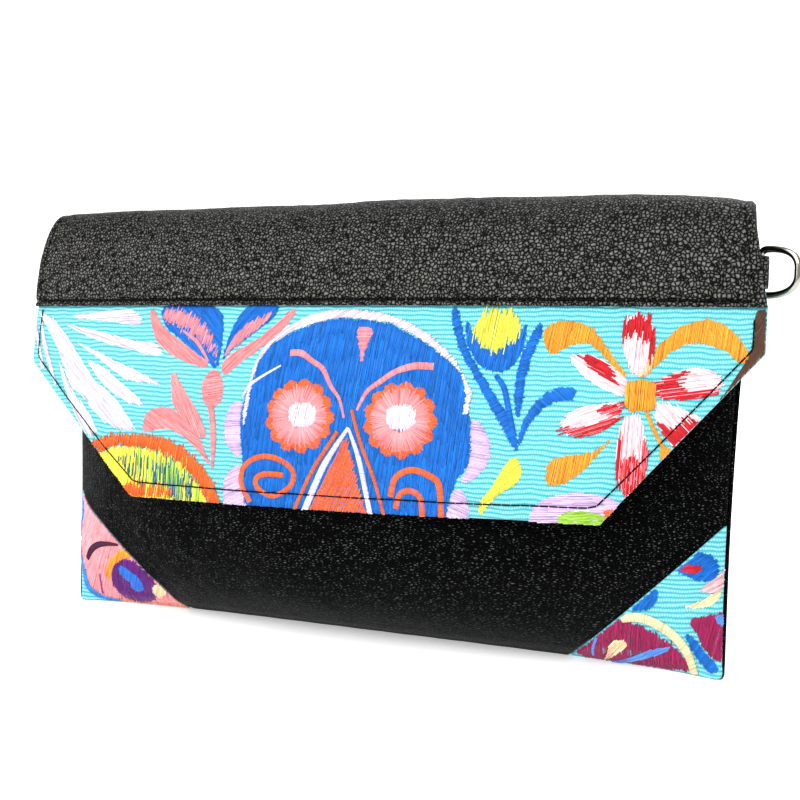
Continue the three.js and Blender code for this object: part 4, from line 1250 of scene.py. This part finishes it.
# %% Left corner motifs
chart.clear()
fill([(-127.5, 45), (-120, 42), (-108, 34), (-99, 28), (-92, 23), (-84, 16), (-79, 10), (-76, 0.5),
      (-112, 0.5), (-119, 2.5), (-123.5, 6), (-125.5, 12), (-127.6, 19), (-128.6, 26), (-127.6, 32),
      (-125.6, 37), (-126, 42)], 60, SHELL, ragged=0.5, soft=1)
band([(-127, 43.5), (-126, 38), (-128, 32), (-128.8, 26), (-127.8, 19), (-125.8, 12), (-124, 6), (-119, 2.6),
      (-110, 1)],
     [1.2, 2, 1.6, 1.0, 1.4, 2.4, 2.8, 2.2, 1.2], AZURE, layer=2)
fill([(-112, 0.5), (-108, 3), (-98, 3), (-88, 3.4), (-80, 4.6), (-76, 0.5)], 40, PEACH, ragged=0.7, layer=2,
     soft=1)
fill([(-112, 9), (-112.4, 14), (-110, 18.5), (-105, 22.8), (-99, 27), (-93.5, 23), (-98, 22), (-104, 20),
      (-108, 15)], 60, GOLD,
     ragged=0.6, layer=2)
fill([(-110, 10), (-108, 4), (-103, 2), (-98, 2.2), (-90, 5), (-86, 9), (-84, 14), (-87, 20), (-94, 22.5),
      (-100, 22), (-107, 17.5)],
     70, PURPLE, ragged=0.5, layer=3)
fill([(-103.5, 16), (-102, 19), (-99, 19.2), (-96.5, 17.6), (-92.5, 15.2), (-91.4, 12.8), (-92.5, 9.6),
      (-96, 8), (-99.5, 9), (-98.5, 12), (-101.5, 13.4)], 60, IRIS, ragged=0.3, layer=4, soft=1)
band([(-101.5, 27.5), (-108, 27), (-115, 25.5), (-120, 22.5), (-123, 18.5)], [0.8, 1.8, 2.8, 3, 2.2], PLUM,
     layer=3)
band([(-116, 13), (-116.4, 9), (-117.4, 4)], [0.7, 1, 0.8], ORCHID, layer=2)
fill([(-84, 14), (-88, 11), (-89, 6.5), (-85, 7), (-81, 10), (-80, 12.5)], 50, CREAM, ragged=0.4, layer=4)
seam_rows = np.linspace(1.2, 44.5, 24)
seam_side = np.stack([corner_x(-1, seam_rows * MM) / MM + 0.5, seam_rows], -1)[::-1]
LEFT_HEM = np.concatenate([[(-128.6, 0.8), (-128.6, 44.5)], seam_side])
embroider("embroidery_corner_left", list(chart), front_at, LEFT_HEM, 51)

# %% Right corner motifs
chart.clear()
fill([(77, 6), (82, 11), (88, 16.5), (95, 20), (101, 18.4), (108, 15), (114, 10.5), (118, 5), (118.6, 0.5),
      (82, 0.5), (81, 3)], 84, MAGENTA,
     ragged=0.5)
band([(97, 20), (103, 20.5), (109, 18), (114, 14), (118, 8), (120, 0.5)], [3.2, 3.4, 3.4, 3.2, 3, 2.6], CREAM,
     layer=2, slant=15)
fill([(88.5, 1), (91, 5), (92.5, 10), (95, 12), (98.6, 11.8), (98.6, 9.6), (95, 6), (91, 2.6)], 50, CREAM,
     layer=2)
fill([(90, 0.5), (97, 3.5), (104, 8.2), (112, 11), (112.6, 9.4), (106, 6), (99, 2.6), (93, 0.5)], 30, SKY,
     layer=2)
band([(86, 4), (87, 8), (88.6, 12)], [0.8, 1, 0.8], SKY, layer=2)
fill([(99, 23), (103, 28), (107, 32), (109, 29), (107.8, 25), (104.6, 22.4)], 60, BLUE)
fill([(113.5, 37), (116, 41.5), (121, 43.6), (126, 41), (127.6, 37), (125, 33), (120, 33.2), (116.6, 35)], 40,
     BLUE)
fill([(114.5, 37), (117.5, 39), (121.6, 38.6), (122, 37), (119.6, 35.8), (117, 36)], 10, RED, layer=2)
fill([(124, 33), (128, 36), (129, 40), (129, 31), (126, 29.4), (121, 29.6), (122, 31.6)], 30, POWDER)
fill([(116, 24.8), (120, 26), (124, 28), (128, 31), (127.4, 27), (123, 24.4), (119, 23.8)], 40, CREAM)
fill([(118, 20.4), (122, 21.6), (127, 22.6), (129, 24), (129, 6), (126.4, 6.4), (123, 10), (121, 15)], 78,
     MAGENTA)
fill([(116.6, 16), (119.4, 15), (123, 9.6), (128, 4.6), (127, 1.8), (124.4, 2.4), (119.6, 8)], 60, BLUE)
fill([(125.4, 21.6), (129, 23), (129, 18.4), (127, 19)], 70, SKY, layer=2)
RIGHT_HEM = np.array([(76.6, 0.8), (128.6, 50.6), (128.8, 0.8)])
embroider("embroidery_corner_right", list(chart), front_at, RIGHT_HEM, 52)

# %% [markdown]
# ## Sewn seams
# Black thread holds the layers: a row above the band's lower edge, one down each end of the band, and one
# about 4 mm inside the hem of the cloth. The stitches are 2.5 to 3 mm long. In the cloth they nearly touch.


# %% Seam rows
def seam_line(path, length, gap):
    """Starts and ends of stitches along a line of points, in the unit of the points."""
    path = np.asarray(path, float)
    run = np.concatenate([[0], np.cumsum(np.linalg.norm(np.diff(path, axis=0), axis=1))])
    starts = np.arange(0.4, run[-1] - length, length + gap)
    both = np.stack([starts, starts + length], 1)
    return np.stack([np.interp(both, run, path[:, k]) for k in range(2)], -1)


def seam(name, at, path, length, gap, wide, lift):
    """A row of black stitches along a path, in millimetres: their length, their gap, width and lift."""
    ends = seam_line(fine_path(path), length, gap) * MM
    count = len(ends)
    black = np.tile(linear(BLACK), (count, 1))
    widths, lifts = np.full(count, wide * MM), np.full(count, lift * MM)
    sew(name, at, ends[:, 0], ends[:, 1], black, widths, lifts, black_thread, sink=0.5 * MM)


def fine_path(points):
    """Adds points between the given ones, so that a row follows a curved surface."""
    points = np.asarray(points, float)
    knots = np.arange(len(points))
    fine = np.linspace(0, len(points) - 1, 60 * len(points))
    return np.stack([np.interp(fine, knots, points[:, k]) for k in range(2)], -1)


LEFT_RUN = [(-136, 121), (-135.6, 101.6), (-118, 86), (-98.5, 69), (-82, 55.6)]
RIGHT_RUN = [(90.6, 58), (108, 77), (128, 99.6), (136, 108.6), (136, 121)]
seam("hem_stitches", flap_face, [*LEFT_RUN, (-30, 56), (40, 57), *RIGHT_RUN], 3.0, 0.06, 0.52, 0.62)


def band_face(x, z):
    """The band's front at a height z between the seam and the ridge: the angle is arccos of the share of the
    way up. It is sunk a little, to the floor of the stitch groove."""
    share = np.clip((z - SEAM_HEIGHT) / (RIDGE_HEIGHT - SEAM_HEIGHT), 0, 0.999)
    return arch(x / FLAP_HALF, np.arccos(share), 0.32 * MM)


def back_face(x, z):
    """The band's hem on the back, with x running the other way, so that its normal points to the back."""
    return stand(ridge_x(-x / FLAP_HALF), back_reach(-x / FLAP_HALF, z), z)


SEAM_UP, ROW_HALF, SIDE_IN, BACK_UP, BACK_HALF = 124.1, 136.5, 136.6, 125, 134
above_seam = [(-ROW_HALF, SEAM_UP), (0, SEAM_UP), (ROW_HALF, SEAM_UP)]
# This row is laid long, wide and nearly closed: real black stitches, and also a painted shadow of the groove
# they lie in.
seam("band_stitches", band_face, above_seam, 2.9, 0.3, 0.95, 0.3)
for side_name, side_x in (("left", -SIDE_IN), ("right", SIDE_IN)):
    upward = [(side_x, SEAM_UP), (side_x, 150), (side_x, 159.5)]
    seam(f"band_end_stitches_{side_name}", band_face, upward, 2.5, 0.7, 0.6, 0.3)
back_row = [(-BACK_HALF, BACK_UP), (0, BACK_UP), (BACK_HALF, BACK_UP)]
seam("back_hem_stitches", back_face, back_row, 2.5, 0.7, 0.6, 0.3)


# %% [markdown]
# ## Light and floor
# The photograph has one even, bright light and a white ground that melts into the background. A floor that
# curves up behind does the same, with a large soft light above and in front, and weaker ones from the left
# and from behind.

# %% Floor
def sweep():
    """A floor that turns up behind in a quarter circle: a profile in y and z, carried across x."""
    turn = np.linspace(0, np.pi / 2, 24)
    bend = np.stack([1.0 + 0.8 * np.sin(turn), 0.8 - 0.8 * np.cos(turn)], -1)
    profile = np.concatenate([[(-2.4, 0)], bend, [(1.8, 3.4)]])
    across = np.linspace(-3, 3, 12)
    x, y = np.meshgrid(across, profile[:, 0])
    points = np.stack([x, y, np.broadcast_to(profile[:, 1:], x.shape)], -1)
    index = np.arange(x.size).reshape(x.shape)
    faces = np.stack([index[:-1, :-1], index[:-1, 1:], index[1:, 1:], index[1:, :-1]], -1).reshape(-1, 4)
    material, tree = new_material("white_paper_sweep")
    coordinates = add(tree, "TexCoord").outputs["Object"]
    mottle = noise(tree, coordinates, 12.0)
    colour = ramp(tree, mottle, [(0.3, "#f4f3f3"), (0.7, "#f8f7f7")])
    wires = {"Base Color": colour, "Roughness": 0.9}
    wires.update({"Emission Color": (1, 1, 1, 1), "Emission Strength": 0.34})
    surface(tree, wires)
    return make_piece("paper_sweep", points.reshape(-1, 3), faces, material)


sweep()


# %% Lights
def soft_light(name, place, aim, size, power):
    """A square area light that looks from place to aim."""
    data = bpy.data.lights.new(name, "AREA")
    data.size, data.energy = size, power
    lamp = bpy.data.objects.new(name, data)
    bpy.context.scene.collection.objects.link(lamp)
    look = unit(np.array(aim, float) - np.array(place, float))
    side = unit(np.cross(look, [0.0, 0.0, 1.0]))
    matrix = np.eye(4)
    matrix[:3, :3] = np.column_stack([side, np.cross(side, look), -look])
    matrix[:3, 3] = place
    lamp.matrix_world = Matrix(matrix.tolist())


soft_light("overhead", (0.1, -0.85, 1.1), (0, 0, 0.08), 1.1, 16)
soft_light("front_left", (-0.9, -1.2, 0.75), (0, 0, 0.08), 0.8, 5)
soft_light("behind", (0.3, 0.9, 1.0), (0, 0.1, 0.1), 0.8, 6)
world = bpy.data.worlds.new("white_room")
bpy.context.scene.world = world
world.use_nodes = True
world.node_tree.nodes["Background"].inputs["Color"].default_value = (1, 1, 1, 1)
world.node_tree.nodes["Background"].inputs["Strength"].default_value = 0.55
bpy.context.scene.view_settings.view_transform = "Standard"
bpy.context.scene.view_settings.look = "Medium High Contrast"
